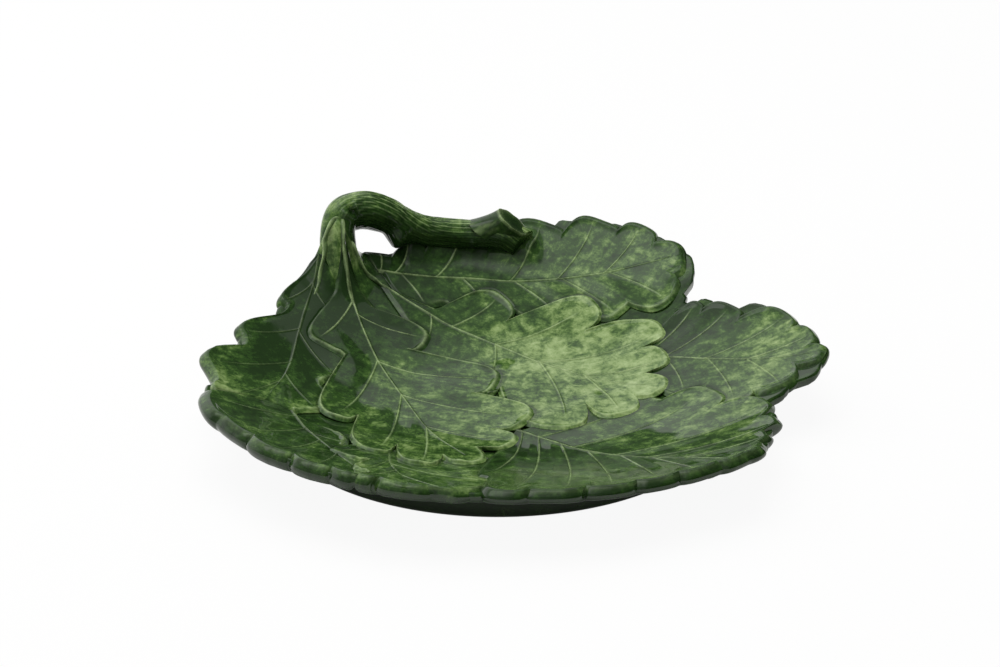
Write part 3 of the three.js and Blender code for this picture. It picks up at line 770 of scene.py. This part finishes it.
def green_glaze(name, stops):
    material = bpy.data.materials.new(name)
    material.use_nodes = True
    tree = material.node_tree
    shader = tree.nodes["Principled BSDF"]
    shader.inputs["Roughness"].default_value = GLAZE_ROUGH
    shader.inputs["IOR"].default_value = GLAZE_IOR
    place = add(tree, "TexCoord")
    grain, thin, pool_and_shade, wear = (
        add(tree, "Attribute", {"attribute_name": key})
        for key in ("grain", "thin", "pool_and_shade", "wear")
    )
    cloud = add(tree, "TexNoise",
                {"Scale": 1 / (CLOUD_SIZE * MM), "Detail": 8, "Roughness": 0.72, "Distortion": 0.25},
                {"Vector": place.outputs["Object"]})
    stretch = add(tree, "Mapping",
                  {"Scale": (1 / (STREAK_LONG * MM), 1 / (STREAK_WIDE * MM), 1)},
                  {"Vector": grain.outputs["Vector"]})
    brush = add(tree, "TexNoise", {"Scale": 1.0, "Detail": 5, "Roughness": 0.62},
                {"Vector": stretch.outputs["Vector"]})
    speck = add(tree, "TexNoise",
                {"Scale": 1 / (SPECK_SIZE * MM), "Detail": 3, "Roughness": 0.6},
                {"Vector": place.outputs["Object"]})
    laid = add(tree, "Mix", {"Factor": STREAK_SHARE},
               {"A": cloud.outputs["Fac"], "B": brush.outputs["Fac"]})
    laid = add(tree, "Mix", {"Factor": SPECK_SHARE},
               {"A": laid.outputs["Result"], "B": speck.outputs["Fac"]})
    drift = add(tree, "TexNoise", {"Scale": 1 / (DRIFT_SIZE * MM), "Detail": 2},
                {"Vector": place.outputs["Object"]})
    laid = add(tree, "Mix", {"Factor": DRIFT_SHARE},
               {"A": laid.outputs["Result"], "B": drift.outputs["Fac"]})
    laid = add(tree, "Mix", {"Factor": EVENED_SHARE, "B": 0.5}, {"A": laid.outputs["Result"]})
    worn = add(tree, "Math", {"operation": "ADD"},
               {0: laid.outputs["Result"], 1: wear.outputs["Fac"]})
    shade = add(tree, "ValToRGB", {}, {"Fac": worn.outputs["Value"]})
    marks = shade.color_ramp.elements
    for mark, (position, colour) in zip(marks, (stops[0], stops[-1])):
        mark.position = position
        mark.color = linear(colour)
    for position, colour in stops[1:-1]:
        marks.new(position).color = linear(colour)
    patchy = add(tree, "MapRange",
                 {"From Min": 0.4, "From Max": 0.58, "To Min": 0.35, "To Max": 1.0},
                 {"Value": cloud.outputs["Fac"]})
    bare = add(tree, "Math", {"operation": "MULTIPLY"},
               {0: thin.outputs["Fac"], 1: patchy.outputs["Result"]})
    light = add(tree, "Mix", {"data_type": "RGBA"},
                {"Factor": bare.outputs["Value"], "A": shade.outputs["Color"]})
    light.inputs["B"].default_value = linear(THIN_GREEN)
    # Pooled glaze and painted shade: the colour darkens by the attribute that carries both.
    dark = add(tree, "Mix", {"data_type": "RGBA"},
               {"Factor": pool_and_shade.outputs["Fac"], "A": light.outputs["Result"]})
    dark.inputs["B"].default_value = linear(POOLED_AND_SHADED_GREEN)
    tree.links.new(shader.inputs["Base Color"], dark.outputs["Result"])
    ripple = add(tree, "TexNoise", {"Scale": 1 / (RIPPLE_SIZE * MM), "Detail": 2},
                 {"Vector": place.outputs["Object"]})
    bump = add(tree, "Bump", {"Strength": 0.2, "Distance": RIPPLE_HIGH * MM},
               {"Height": ripple.outputs["Fac"]})
    tree.links.new(shader.inputs["Normal"], bump.outputs["Normal"])
    return material


leaf_glaze = green_glaze("green_glazed_earthenware", GLAZE_STOPS)
for order, leaf in enumerate(LEAVES):
    piece = leaf_piece(leaf, order)
    piece.data.materials.append(leaf_glaze)
    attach(piece, "root")
    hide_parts(leaf["name"])

# Dish shell: the cast bowl under the leaves, 4.5 mm thick, its rim trimmed inside the leaves'
# outline and its back left drawn up in flutes into the twig's leg. Its inside shows on that leg
# and between leaves, with painted shade beside the leaves' edges, in the leg's flutes and on its
# right side; its underside is smooth and painted dark as shade.
SHELL_INSET = 3.0
NOTCH_REACH = 6
NOTCH_FILL = 0.9
LEG_OUTLINE = np.array([(-101, 78), (-92, 91), (-80, 98.5), (-66, 100), (-56, 84), (-84, 66)])
SHELL_SEARCH = (60, 165, 0.5)
SHELL_LEAST = 100.0
SHELL_COLUMNS = 480
SHELL_TOP_ROWS = 90
SHELL_ARC_ROWS = 11
SHELL_UNDER_ROWS = 45
SHELL_ROUND = 1.6
SHELL_UNDER_INSET = 3.5
SHELL_POOL_AND_SHADE = 0.25
SHELL_POOL_AND_SHADE_WIDE = 1.1
UNDER_SHADE = 0.75
SHELL_WEAR = -0.05
SHELL_LEG_WEAR = 0.11
LEG_WEAR_HIGH = (2, 14)
LEG_FLUTE = 0.7
LEG_FLUTE_WIDE = 1.1
LEG_FLUTE_SLANT = 9
LEG_POOL_AND_SHADE = 0.6
LEG_POOL_AND_SHADE_HIGH = (4, 14)
LEG_SHADE = (-82.5, -80)

turns = np.linspace(0, 2 * math.pi, SHELL_COLUMNS + 1)
steps = np.arange(*SHELL_SEARCH)
sweep_x = steps[:, None] * np.cos(turns)
sweep_y = steps[:, None] * np.sin(turns)
clay = on_map(inside_map(LEG_OUTLINE), sweep_x, sweep_y) + SHELL_INSET
for leaf in LEAVES:
    clay = np.maximum(clay, on_map(leaf["map"], sweep_x, sweep_y))
shell_radius = np.where(clay > SHELL_INSET, steps[:, None], 0).max(axis=0)
shell_radius = np.maximum(shell_radius, SHELL_LEAST)
before = shell_radius[-1 - NOTCH_REACH:-1]
after = shell_radius[1:NOTCH_REACH + 1]
ring = np.concatenate([before, shell_radius, after])
crest = windows(ring, 2 * NOTCH_REACH + 1).max(axis=1)
shell_radius = shell_radius + NOTCH_FILL * (crest - shell_radius)

edge_arc = np.radians(np.linspace(80, -80, SHELL_ARC_ROWS))
shell_outs = [k / SHELL_TOP_ROWS * np.ones_like(turns) for k in range(SHELL_TOP_ROWS)]
shell_outs += [1 - SHELL_ROUND * (1 - np.cos(angle)) / shell_radius for angle in edge_arc]
for k in range(SHELL_UNDER_ROWS - 1, -1, -1):
    shell_outs.append(k / SHELL_UNDER_ROWS * (1 - SHELL_UNDER_INSET / shell_radius))
shell_outs = np.array(shell_outs)
faces_up = np.full(SHELL_TOP_ROWS, np.pi / 2)
faces_down = np.full(SHELL_UNDER_ROWS, -np.pi / 2)
shell_bend = np.concatenate([faces_up, edge_arc, faces_down])
upper_share = (1 + np.sin(shell_bend[:, None])) / 2
x = shell_outs * shell_radius * np.cos(turns)
y = shell_outs * shell_radius * np.sin(turns)
lifted = drawn_up(x, y)
leg_wave = np.sin(x / LEG_FLUTE_WIDE + y / LEG_FLUTE_SLANT)
flutes = LEG_FLUTE * leg_wave * (lifted / LEG_LIFT) ** 2
z = bowl(x, y) - SHELL_WALL * (1 - upper_share) + (lifted + flutes) * upper_share
shell_pool_and_shade = np.zeros_like(z)
for leaf in LEAVES:
    beside_leaf = np.exp(-np.abs(on_map(leaf["map"], x, y)) / SHELL_POOL_AND_SHADE_WIDE)
    shell_pool_and_shade = np.maximum(shell_pool_and_shade, SHELL_POOL_AND_SHADE * beside_leaf)
# The leg's flutes hold pooled glaze and painted shade, and its right side is painted in shade.
leg_pool_and_shade = LEG_POOL_AND_SHADE * np.maximum(np.clip(-leg_wave, 0, 1), ramp(x, *LEG_SHADE))
shell_pool_and_shade = np.maximum(shell_pool_and_shade, leg_pool_and_shade * ramp(lifted, *LEG_POOL_AND_SHADE_HIGH))
# The underside is painted dark all over as shade under the dish.
shell_pool_and_shade = np.where(shell_bend[:, None] > 0, shell_pool_and_shade, UNDER_SHADE)
shell = warped_grid("dish_shell", {
    "place": np.dstack([x, y, z]),
    "thin": 0 * z,
    "pool_and_shade": shell_pool_and_shade,
    "wear": SHELL_WEAR + SHELL_LEG_WEAR * ramp(lifted, *LEG_WEAR_HIGH),
    "grain": np.dstack([shell_outs * shell_radius, shell_radius * turns + 0 * z, 0 * z]),
})
shell.data.materials.append(leaf_glaze)
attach(shell, "root")
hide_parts("dish_shell")

# Foot ring: a thrown collar luted under the shell, flaring out into it, glazed with it and
# wiped flat on the standing edge.
FOOT_INNER = 90.0
FOOT_OUTER = 102.0
FOOT_FLARE = 112.0
FOOT_SHIFT = -8.0
FOOT_ROUND = 2.2
FOOT_EDGE = 0.6
FOOT_OVERLAP = 0.4
FOOT_COLUMNS = 240
FOOT_TOP_ROWS = 10
FLARE_ROWS = 12
FLARE_START = 0.11
FLARE_CURVE = 1.6
DEPTH_SHARE = (HALF_DEPTH_FRONT + HALF_DEPTH_BACK) / (2 * HALF_WIDTH)

# Each point of the profile is a radius and a share of the height up to the shell.
foot_turns = np.linspace(0, 2 * math.pi, FOOT_COLUMNS + 1)
foot_profile = [
    (FOOT_INNER, 1.0), (FOOT_INNER, 0.3), (FOOT_INNER + FOOT_EDGE, 0.04),
    (FOOT_INNER + FOOT_ROUND, 0.0), (FOOT_OUTER - FOOT_ROUND, 0.0),
    (FOOT_OUTER - FOOT_EDGE, 0.03), (FOOT_OUTER + FOOT_EDGE, FLARE_START),
]
for k in range(1, FLARE_ROWS + 1):
    t = k / FLARE_ROWS
    flare = FOOT_OUTER + FOOT_EDGE + (FOOT_FLARE - FOOT_OUTER - FOOT_EDGE) * t ** FLARE_CURVE
    foot_profile.append((flare, FLARE_START + (1 - FLARE_START) * t))
for k in range(FOOT_TOP_ROWS - 1, -1, -1):
    foot_profile.append((FOOT_INNER + (FOOT_FLARE - FOOT_INNER) * k / FOOT_TOP_ROWS, 1.0))
foot_radius = np.array([radius for radius, _ in foot_profile])[:, None]
foot_rise = np.array([rise for _, rise in foot_profile])[:, None]
x = FOOT_SHIFT + foot_radius * np.cos(foot_turns)
y = foot_radius * DEPTH_SHARE * np.sin(foot_turns)
z = foot_rise * (bowl(x, y) - SHELL_WALL + FOOT_OVERLAP)
foot = warped_grid("foot_ring", {
    "place": np.dstack([x, y, z]),
    "thin": 0 * z,
    # Painted shade: the whole foot is dark as the shade under the dish.
    "pool_and_shade": UNDER_SHADE + 0 * z,
    "wear": SHELL_WEAR + 0 * z,
    "grain": np.dstack([z, foot_radius * foot_turns, 0 * z]),
})
foot.data.materials.append(leaf_glaze)
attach(foot, "root")
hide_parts("foot_ring")

# Twig handle: a rolled coil of clay, 15 to 18 mm thick and scored like bark, that arches from
# the leaves over the finger hole and lies along the back rim to a slanting cut end, webbed under
# where the hole ends. Its points give the place in plan and the height over the bowl.
TWIG_PATH = [
    (-84.4, 90, 0), (-85.2, 93.5, 6), (-85.6, 96.5, 11), (-85.1, 99.4, 15), (-83, 102.5, 17.7),
    (-78.9, 105.2, 18.4), (-71.7, 107.5, 19.1), (-62.6, 109.5, 16.7), (-56.2, 111, 13.1),
    (-48.7, 112.5, 9.7), (-40.9, 114, 7.6), (-25.6, 115.5, 6.6), (-12.8, 115.5, 7.6),
    (-4, 114.8, 7.4), (4.5, 114, 4.4),
]
TWIG_RADIUS = 7.4
ARCH_SWELL = 1.7
ARCH_SHARE = 0.31
ARCH_SPREAD = 0.18
LEG_SWELL = 0.9
LEG_SHARE = 0.09
LEG_SPREAD = 0.06
TOE_TAPER = 4.0
TOE_SHARE = 0.06
CUT_SLANT = 0.5
WEB_HIGH = 5.0
WEB_SHARE = 0.49
WEB_SPREAD = 0.036
CUT_SHARE = 0.88
END_RINGS = [0.0, 0.3, 0.6, 0.82, 0.95]
FLUTE_HIGH = 0.25
SCORE_HIGH = 0.12
SCORE_START = (0.15, 0.28)
TWIG_SIDES = 180
TWIG_RINGS = 300

# Knots and pits: the share along the twig, the place around it in radians and the height.
TWIG_KNOTS = [
    (0.21, 1.5, 1.5), (0.232, 1.35, -1.9), (0.25, 1.2, -1.6), (0.265, 1.5, 1.3), (0.79, 0.6, 0.9),
]
KNOT_LONG = 0.012
KNOT_WIDE = 0.28


def over_bowl(path):
    points = np.array(path, dtype=float)
    points[:, 2] += bowl(points[:, 0], points[:, 1])
    return points


def rod(name, points, radius_at, bark, sides, rings, slant=0.0, hollow=0.0):
    # A round bar along a smooth line; bark gives the scoring's height and the glaze on it, with its
    # painted shade.
    line = smooth_line(points, rings)
    ahead = np.gradient(line, axis=0)
    ahead = ahead / np.linalg.norm(ahead, axis=1)[:, None]
    across = np.zeros_like(line)
    across[0] = np.cross(ahead[0], (0, 0, 1))
    across[0] /= np.linalg.norm(across[0])
    for i in range(1, rings):
        across[i] = across[i - 1] - (across[i - 1] @ ahead[i]) * ahead[i]
        across[i] /= np.linalg.norm(across[i])
    upward = np.cross(across, ahead)
    share = np.linspace(0, 1, rings)
    turn = np.linspace(0, 2 * math.pi, sides + 1)
    height, thin, pool_and_shade, wear = bark(share[:, None], turn[None, :])
    radius = radius_at(share)[:, None] + height
    ends = len(END_RINGS)
    picked = np.array([0] * ends + list(range(rings)) + [rings - 1] * ends)
    shrink = np.array(END_RINGS + [1.0] * rings + END_RINGS[::-1])[:, None]
    spoke = radius[picked] * shrink
    around = np.cos(turn)[:, None] * across[picked][:, None]
    around = around + np.sin(turn)[:, None] * upward[picked][:, None]
    offset = spoke[:, :, None] * around
    slide = slant * offset[:, :, 1] * ramp(share[picked], CUT_SHARE, 1.0)[:, None]
    slide[-ends:] -= hollow * (1 - shrink[-ends:] ** 2)
    place = line[picked][:, None] + offset + slide[:, :, None] * ahead[picked][:, None]
    length = np.linalg.norm(np.diff(line, axis=0), axis=1).sum()
    flat = np.zeros_like(spoke)
    return warped_grid(name, {
        "place": place,
        "thin": (thin + 0 * height)[picked] * shrink ** 8,
        # Each closed end darkens towards its centre.
        "pool_and_shade": 1 - (1 - (pool_and_shade + 0 * height)[picked]) * (0.4 + 0.6 * shrink ** 2),
        "wear": (wear + 0 * height)[picked],
        "grain": np.dstack([flat + (share * length)[picked][:, None], flat + turn * TWIG_RADIUS, flat]),
    })


def twig_radius(share):
    swell = ARCH_SWELL * np.exp(-((share - ARCH_SHARE) / ARCH_SPREAD) ** 2)
    leg = LEG_SWELL * np.exp(-((share - LEG_SHARE) / LEG_SPREAD) ** 2)
    return TWIG_RADIUS + swell + leg - TOE_TAPER * (1 - ramp(share, 0, TOE_SHARE))


def twig_bark(share, turn):
    # Flutes and finer scored lines that wind slowly round the twig, with knots and the web.
    twist = turn + 1.6 * share
    flutes = np.sin(4 * twist + 2.5 * np.sin(8 * share)) + 0.5 * np.sin(7 * twist - 11 * share)
    lines = np.sin(29 * twist + 4 * np.sin(13 * share))
    lines = lines * np.sin(9 * twist + 9 * share + 2 * np.sin(21 * share))
    lines = lines * ramp(share, *SCORE_START)
    knots = np.zeros_like(flutes)
    for at, angle, size in TWIG_KNOTS:
        apart = np.abs((turn - angle + math.pi) % (2 * math.pi) - math.pi)
        knots = knots + size * np.exp(-((share - at) / KNOT_LONG) ** 2 - (apart / KNOT_WIDE) ** 2)
    below = np.clip(np.cos(turn), 0, 1)
    web = WEB_HIGH * np.exp(-((share - WEB_SHARE) / WEB_SPREAD) ** 2) * below ** 2
    height = FLUTE_HIGH * flutes + SCORE_HIGH * lines + knots + web
    thin = np.clip(0.08 * flutes + 0.9 * lines - 0.1 + 0.3 * knots, 0, 0.8)
    thin = thin * ramp(-np.cos(turn), -0.6, 0.5)
    # Darker underneath: glaze pooled below and painted shade.
    pool_and_shade = np.clip(0.12 + 0.65 * below - 0.35 * lines, 0, 0.85) * ramp(share, 0.12, 0.3)
    pool_and_shade = np.maximum(pool_and_shade, np.clip(-0.6 * knots, 0, 0.9))
    # The last value lightens the top and darkens the underside: painted shade.
    return height, thin, pool_and_shade, -0.01 - 0.05 * np.cos(turn)


twig_line = over_bowl(TWIG_PATH)
twig = rod("twig_handle", twig_line, twig_radius, twig_bark, TWIG_SIDES, TWIG_RINGS, CUT_SLANT)
twig.data.materials.append(leaf_glaze)
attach(twig, "root")
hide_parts("twig_handle")

# Twig stub: what is left of a side shoot, cut off near the twig's end. It is a short coil
# luted to the twig, leaning to the right, and its cut slopes down and is hollowed a little.
STUB_PATH = [(-9, 114.6, 5), (-5.6, 114.4, 9.6), (-2.6, 114.2, 13.6), (-0.4, 114, 16.4)]
STUB_WIDE = 9.2
STUB_NARROW = 7.4
STUB_SKIRT = 8.0
STUB_DRAWN = 4.0
STUB_HOLLOW = 0.4
STUB_SIDES = 64
STUB_RINGS = 48


def stub_radius(share):
    return (STUB_WIDE + STUB_NARROW) / 2 + 0 * share


def stub_bark(share, turn):
    # Oval, drawn in and skirted where it is luted on, with faint ridges and a light cut edge.
    oval = (STUB_NARROW - STUB_WIDE) / 2 * np.cos(2 * turn)
    oval = oval - STUB_DRAWN * (1 - share) * np.cos(turn) ** 2
    skirt = STUB_SKIRT * (1 - share) ** 1.4 * np.clip(np.sin(turn), 0, 1) ** 2
    ridges = 0.3 * np.sin(7 * turn + 2 * share)
    lines = np.sin(31 * turn + 5 * share) * np.sin(13 * turn - 7 * share)
    thin = 0.75 * ramp(share, 0.86, 0.97) + np.clip(ridges + 0.5 * lines, 0, 0.6) * (1 - share)
    # Painted shade on every side but the top.
    pool_and_shade = 0.45 * (1 - ramp(np.sin(turn), -0.1, 0.8))
    return oval + skirt + ridges, thin, pool_and_shade, -0.06


stub_line = over_bowl(STUB_PATH)
stub = rod("twig_stub", stub_line, stub_radius, stub_bark, STUB_SIDES, STUB_RINGS, hollow=STUB_HOLLOW)
stub.data.materials.append(leaf_glaze)
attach(stub, "root")
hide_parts("twig_stub")

# Stems: thin strips of clay that run down the twig's leg and on to three leaves, the left one
# branching off the centre one, smoothed in with slip and crested, the glaze thin and light
# along the crest. Their points give the place in plan and the height over the leaves.
STEMS = {
    "stem_centre": [
        (-82.6, 100.5, 3), (-83, 97.2, -0.2), (-82.9, 94.5, -0.8), (-82.6, 91, -1), (-82.2, 87, -0.6),
        (-81.4, 82, 0), (-80, 76.5, 0), (-78.4, 71, 0), (-77, 66, -1),
    ],
    "stem_left": [
        (-83, 96.6, -2), (-84.4, 94.6, -0.8), (-87, 92, -0.9), (-89.6, 89.4, -0.9), (-90.8, 86.4, -0.9),
        (-90.9, 83, -0.5), (-92.8, 78, 0), (-93.4, 73, -0.1), (-95.5, 66, -1),
    ],
    "stem_middle": [
        (-79.5, 92, -3), (-75.5, 90, -0.9), (-71, 88.2, -0.6), (-66.4, 86, -0.2), (-60, 81.5, -1),
    ],
}
STEM_RADIUS = 1.3
STEM_TAPER = 0.5
STEM_BROAD = 0.25
STEM_CREST = 0.4
STEM_SIDES = 24
STEM_RINGS = 70


def over_leaves(path):
    points = np.array(path, dtype=float)
    points[:, 2] += drape(len(LEAVES), points[:, 0], points[:, 1])
    return points


def stem_radius(share):
    broad = 1 + STEM_BROAD * np.exp(-((share - 0.12) / 0.1) ** 2)
    return STEM_RADIUS * broad * (1 - STEM_TAPER * share) * ramp(share, -0.06, 0.12)


def stem_bark(share, turn):
    crest = np.clip(np.sin(turn + 0.3 * np.sin(17 * share)), 0, 1) ** 5
    height = STEM_CREST * crest + 0.1 * np.sin(3 * turn + 23 * share)
    return height, 0.15 + 0.55 * crest, 0.0, -0.03


for name, path in STEMS.items():
    stem = rod(name, over_leaves(path), stem_radius, stem_bark, STEM_SIDES, STEM_RINGS)
    stem.data.materials.append(leaf_glaze)
    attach(stem, "root")
    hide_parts(name)

# Studio: a plain white floor that runs into a pale backdrop, a broad soft light overhead and a
# weaker, narrow one at the left. The glaze mirrors neither lamp, only the floor and backdrop.
FLOOR_SIZE = 4.0
ROOM_FILL = 0.35
FLOOR_WHITE = 0.93
FLOOR_MIRRORED = 0.05
FLAG_SLOPE = -1.2
FLAG_EDGE = (0.285, 0.305)
FLAG_DARK = 0.08
ROOM_LEFT = 0.85
ROOM_RIGHT = 0.32
ROOM_BEHIND = 0.3
CEILING_SLOPE = -0.3
CEILING = [(0.77, 1.0), (0.82, 0.6), (0.93, 0.6), (0.96, 1.8)]
DIFFUSER_SIZE = 1.2
DIFFUSER_WATTS = 16
DIFFUSER_ASIDE = 0.2
DIFFUSER_HIGH = 1.4
STRIP_SIZE = (0.22, 0.9)
STRIP_WATTS = 3.5
STRIP_PLACE = (-1.0, 0.45, 0.9)

scene = bpy.context.scene
scene.view_settings.view_transform = "Standard"

bm = bmesh.new()
bmesh.ops.create_grid(bm, x_segments=1, y_segments=1, size=FLOOR_SIZE)
mesh = bpy.data.meshes.new("floor")
bm.to_mesh(mesh)
bm.free()
floor = bpy.data.objects.new("floor", mesh)
scene.collection.objects.link(floor)

# White paper sweep: matt, and bright enough to the eye to read as white.
paper = bpy.data.materials.new("white_paper_sweep")
paper.use_nodes = True
tree = paper.node_tree
matt = tree.nodes["Principled BSDF"]
matt.inputs["Base Color"].default_value = linear("#f4f4f2")
matt.inputs["Roughness"].default_value = 0.9
glow = add(tree, "Emission", {"Color": (1, 1, 1, 1), "Strength": 1.0})
rays = add(tree, "LightPath")
bounced = add(tree, "Math", {"operation": "MAXIMUM"},
              {0: rays.outputs["Is Glossy Ray"], 1: rays.outputs["Is Transmission Ray"]})
mirrored = add(tree, "Math", {"operation": "MULTIPLY", 1: FLOOR_MIRRORED},
               {0: bounced.outputs["Value"]})
direct = add(tree, "Math", {"operation": "MULTIPLY", 1: FLOOR_WHITE},
             {0: rays.outputs["Is Camera Ray"]})
most = add(tree, "Math", {"operation": "MAXIMUM"},
           {0: direct.outputs["Value"], 1: mirrored.outputs["Value"]})
mixed = add(tree, "MixShader", {},
            {0: most.outputs["Value"], 1: matt.outputs["BSDF"], 2: glow.outputs["Emission"]})
tree.links.new(tree.nodes["Material Output"].inputs["Surface"], mixed.outputs["Shader"])
floor.data.materials.append(paper)

# Backdrop: white to the eye. What the glaze mirrors is a pale room, lighter on the left, with
# a dark flag over the table on the right, a darker ceiling, a diffuser overhead and a dark
# space behind the camera.
world = bpy.data.worlds.new("studio")
scene.world = world
world.use_nodes = True
tree = world.node_tree
fill = tree.nodes["Background"]
fill.inputs["Color"].default_value = (1, 1, 1, 1)
fill.inputs["Strength"].default_value = ROOM_FILL
way = add(tree, "TexCoord")
parts = add(tree, "SeparateXYZ", {}, {"Vector": way.outputs["Generated"]})
low = add(tree, "Math", {"operation": "MULTIPLY_ADD", 1: FLAG_SLOPE},
          {0: parts.outputs["X"], 2: parts.outputs["Z"]})
flag = add(tree, "MapRange",
           {"From Min": FLAG_EDGE[0], "From Max": FLAG_EDGE[1], "To Min": FLAG_DARK, "To Max": 1.0},
           {"Value": low.outputs["Value"]})
side = add(tree, "MapRange",
           {"From Min": -0.2, "From Max": 0.25, "To Min": ROOM_LEFT, "To Max": ROOM_RIGHT},
           {"Value": parts.outputs["X"]})
high = add(tree, "Math", {"operation": "MULTIPLY_ADD", 1: CEILING_SLOPE},
           {0: parts.outputs["X"], 2: parts.outputs["Z"]})
ceiling = add(tree, "ValToRGB", {}, {"Fac": high.outputs["Value"]})
marks = ceiling.color_ramp.elements
for mark, (position, level) in zip(marks, (CEILING[0], CEILING[-1])):
    mark.position = position
    mark.color = [level] * 3 + [1]
for position, level in CEILING[1:-1]:
    marks.new(position).color = [level] * 3 + [1]
ahead = add(tree, "MapRange",
            {"From Min": -0.15, "From Max": 0.1, "To Min": ROOM_BEHIND, "To Max": 1.0},
            {"Value": parts.outputs["Y"]})
walls = add(tree, "Math", {"operation": "MULTIPLY"},
            {0: flag.outputs["Result"], 1: side.outputs["Result"]})
walls = add(tree, "Math", {"operation": "MULTIPLY"},
            {0: walls.outputs["Value"], 1: ahead.outputs["Result"]})
room = add(tree, "Math", {"operation": "MULTIPLY"},
           {0: walls.outputs["Value"], 1: ceiling.outputs["Color"]})
rays = add(tree, "LightPath")
white = add(tree, "Mix", {"data_type": "RGBA"},
            {"Factor": rays.outputs["Is Camera Ray"], "A": room.outputs["Value"]})
white.inputs["B"].default_value = (1, 1, 1, 1)
drop = add(tree, "Background", {"Strength": 1.0}, {"Color": white.outputs["Result"]})
bounced = add(tree, "Math", {"operation": "MAXIMUM"},
              {0: rays.outputs["Is Glossy Ray"], 1: rays.outputs["Is Transmission Ray"]})
seen = add(tree, "Math", {"operation": "MAXIMUM"},
           {0: bounced.outputs["Value"], 1: rays.outputs["Is Camera Ray"]})
mixed = add(tree, "MixShader", {},
            {0: seen.outputs["Value"], 1: fill.outputs["Background"], 2: drop.outputs["Background"]})
tree.links.new(tree.nodes["World Output"].inputs["Surface"], mixed.outputs["Shader"])

lamp = bpy.data.lights.new("overhead_diffuser", "AREA")
lamp.shape = "SQUARE"
lamp.size = DIFFUSER_SIZE
lamp.energy = DIFFUSER_WATTS
diffuser = bpy.data.objects.new("overhead_diffuser", lamp)
diffuser.location = (-DIFFUSER_ASIDE, DIFFUSER_ASIDE, DIFFUSER_HIGH)
tilt = math.atan2(DIFFUSER_ASIDE, DIFFUSER_HIGH)
diffuser.rotation_euler = (-tilt, -tilt, 0)
diffuser.visible_glossy = False
scene.collection.objects.link(diffuser)
lamp = bpy.data.lights.new("side_strip", "AREA")
lamp.shape = "RECTANGLE"
lamp.size, lamp.size_y = STRIP_SIZE
lamp.energy = STRIP_WATTS
strip = bpy.data.objects.new("side_strip", lamp)
strip.location = STRIP_PLACE
strip.rotation_euler = (0, -math.atan2(-STRIP_PLACE[0], STRIP_PLACE[2]), 0)
strip.visible_glossy = False
scene.collection.objects.link(strip)

# Camera: a long lens about a metre off and 26 degrees above the table, square to the front.
ELEVATION = math.radians(26)
DISTANCE = 1.05
SENSOR_WIDTH = 36
FOCAL_LENGTH = 85
AIM = (-0.007315, -0.013327, 0.045606)

lens = bpy.data.cameras.new("camera")
lens.sensor_width = SENSOR_WIDTH
lens.lens = FOCAL_LENGTH
camera = bpy.data.objects.new("camera", lens)
scene.collection.objects.link(camera)
camera.location = np.array(AIM) + DISTANCE * np.array([0, -math.cos(ELEVATION), math.sin(ELEVATION)])
camera.rotation_euler = (math.pi / 2 - ELEVATION, 0, 0)
scene.camera = camera
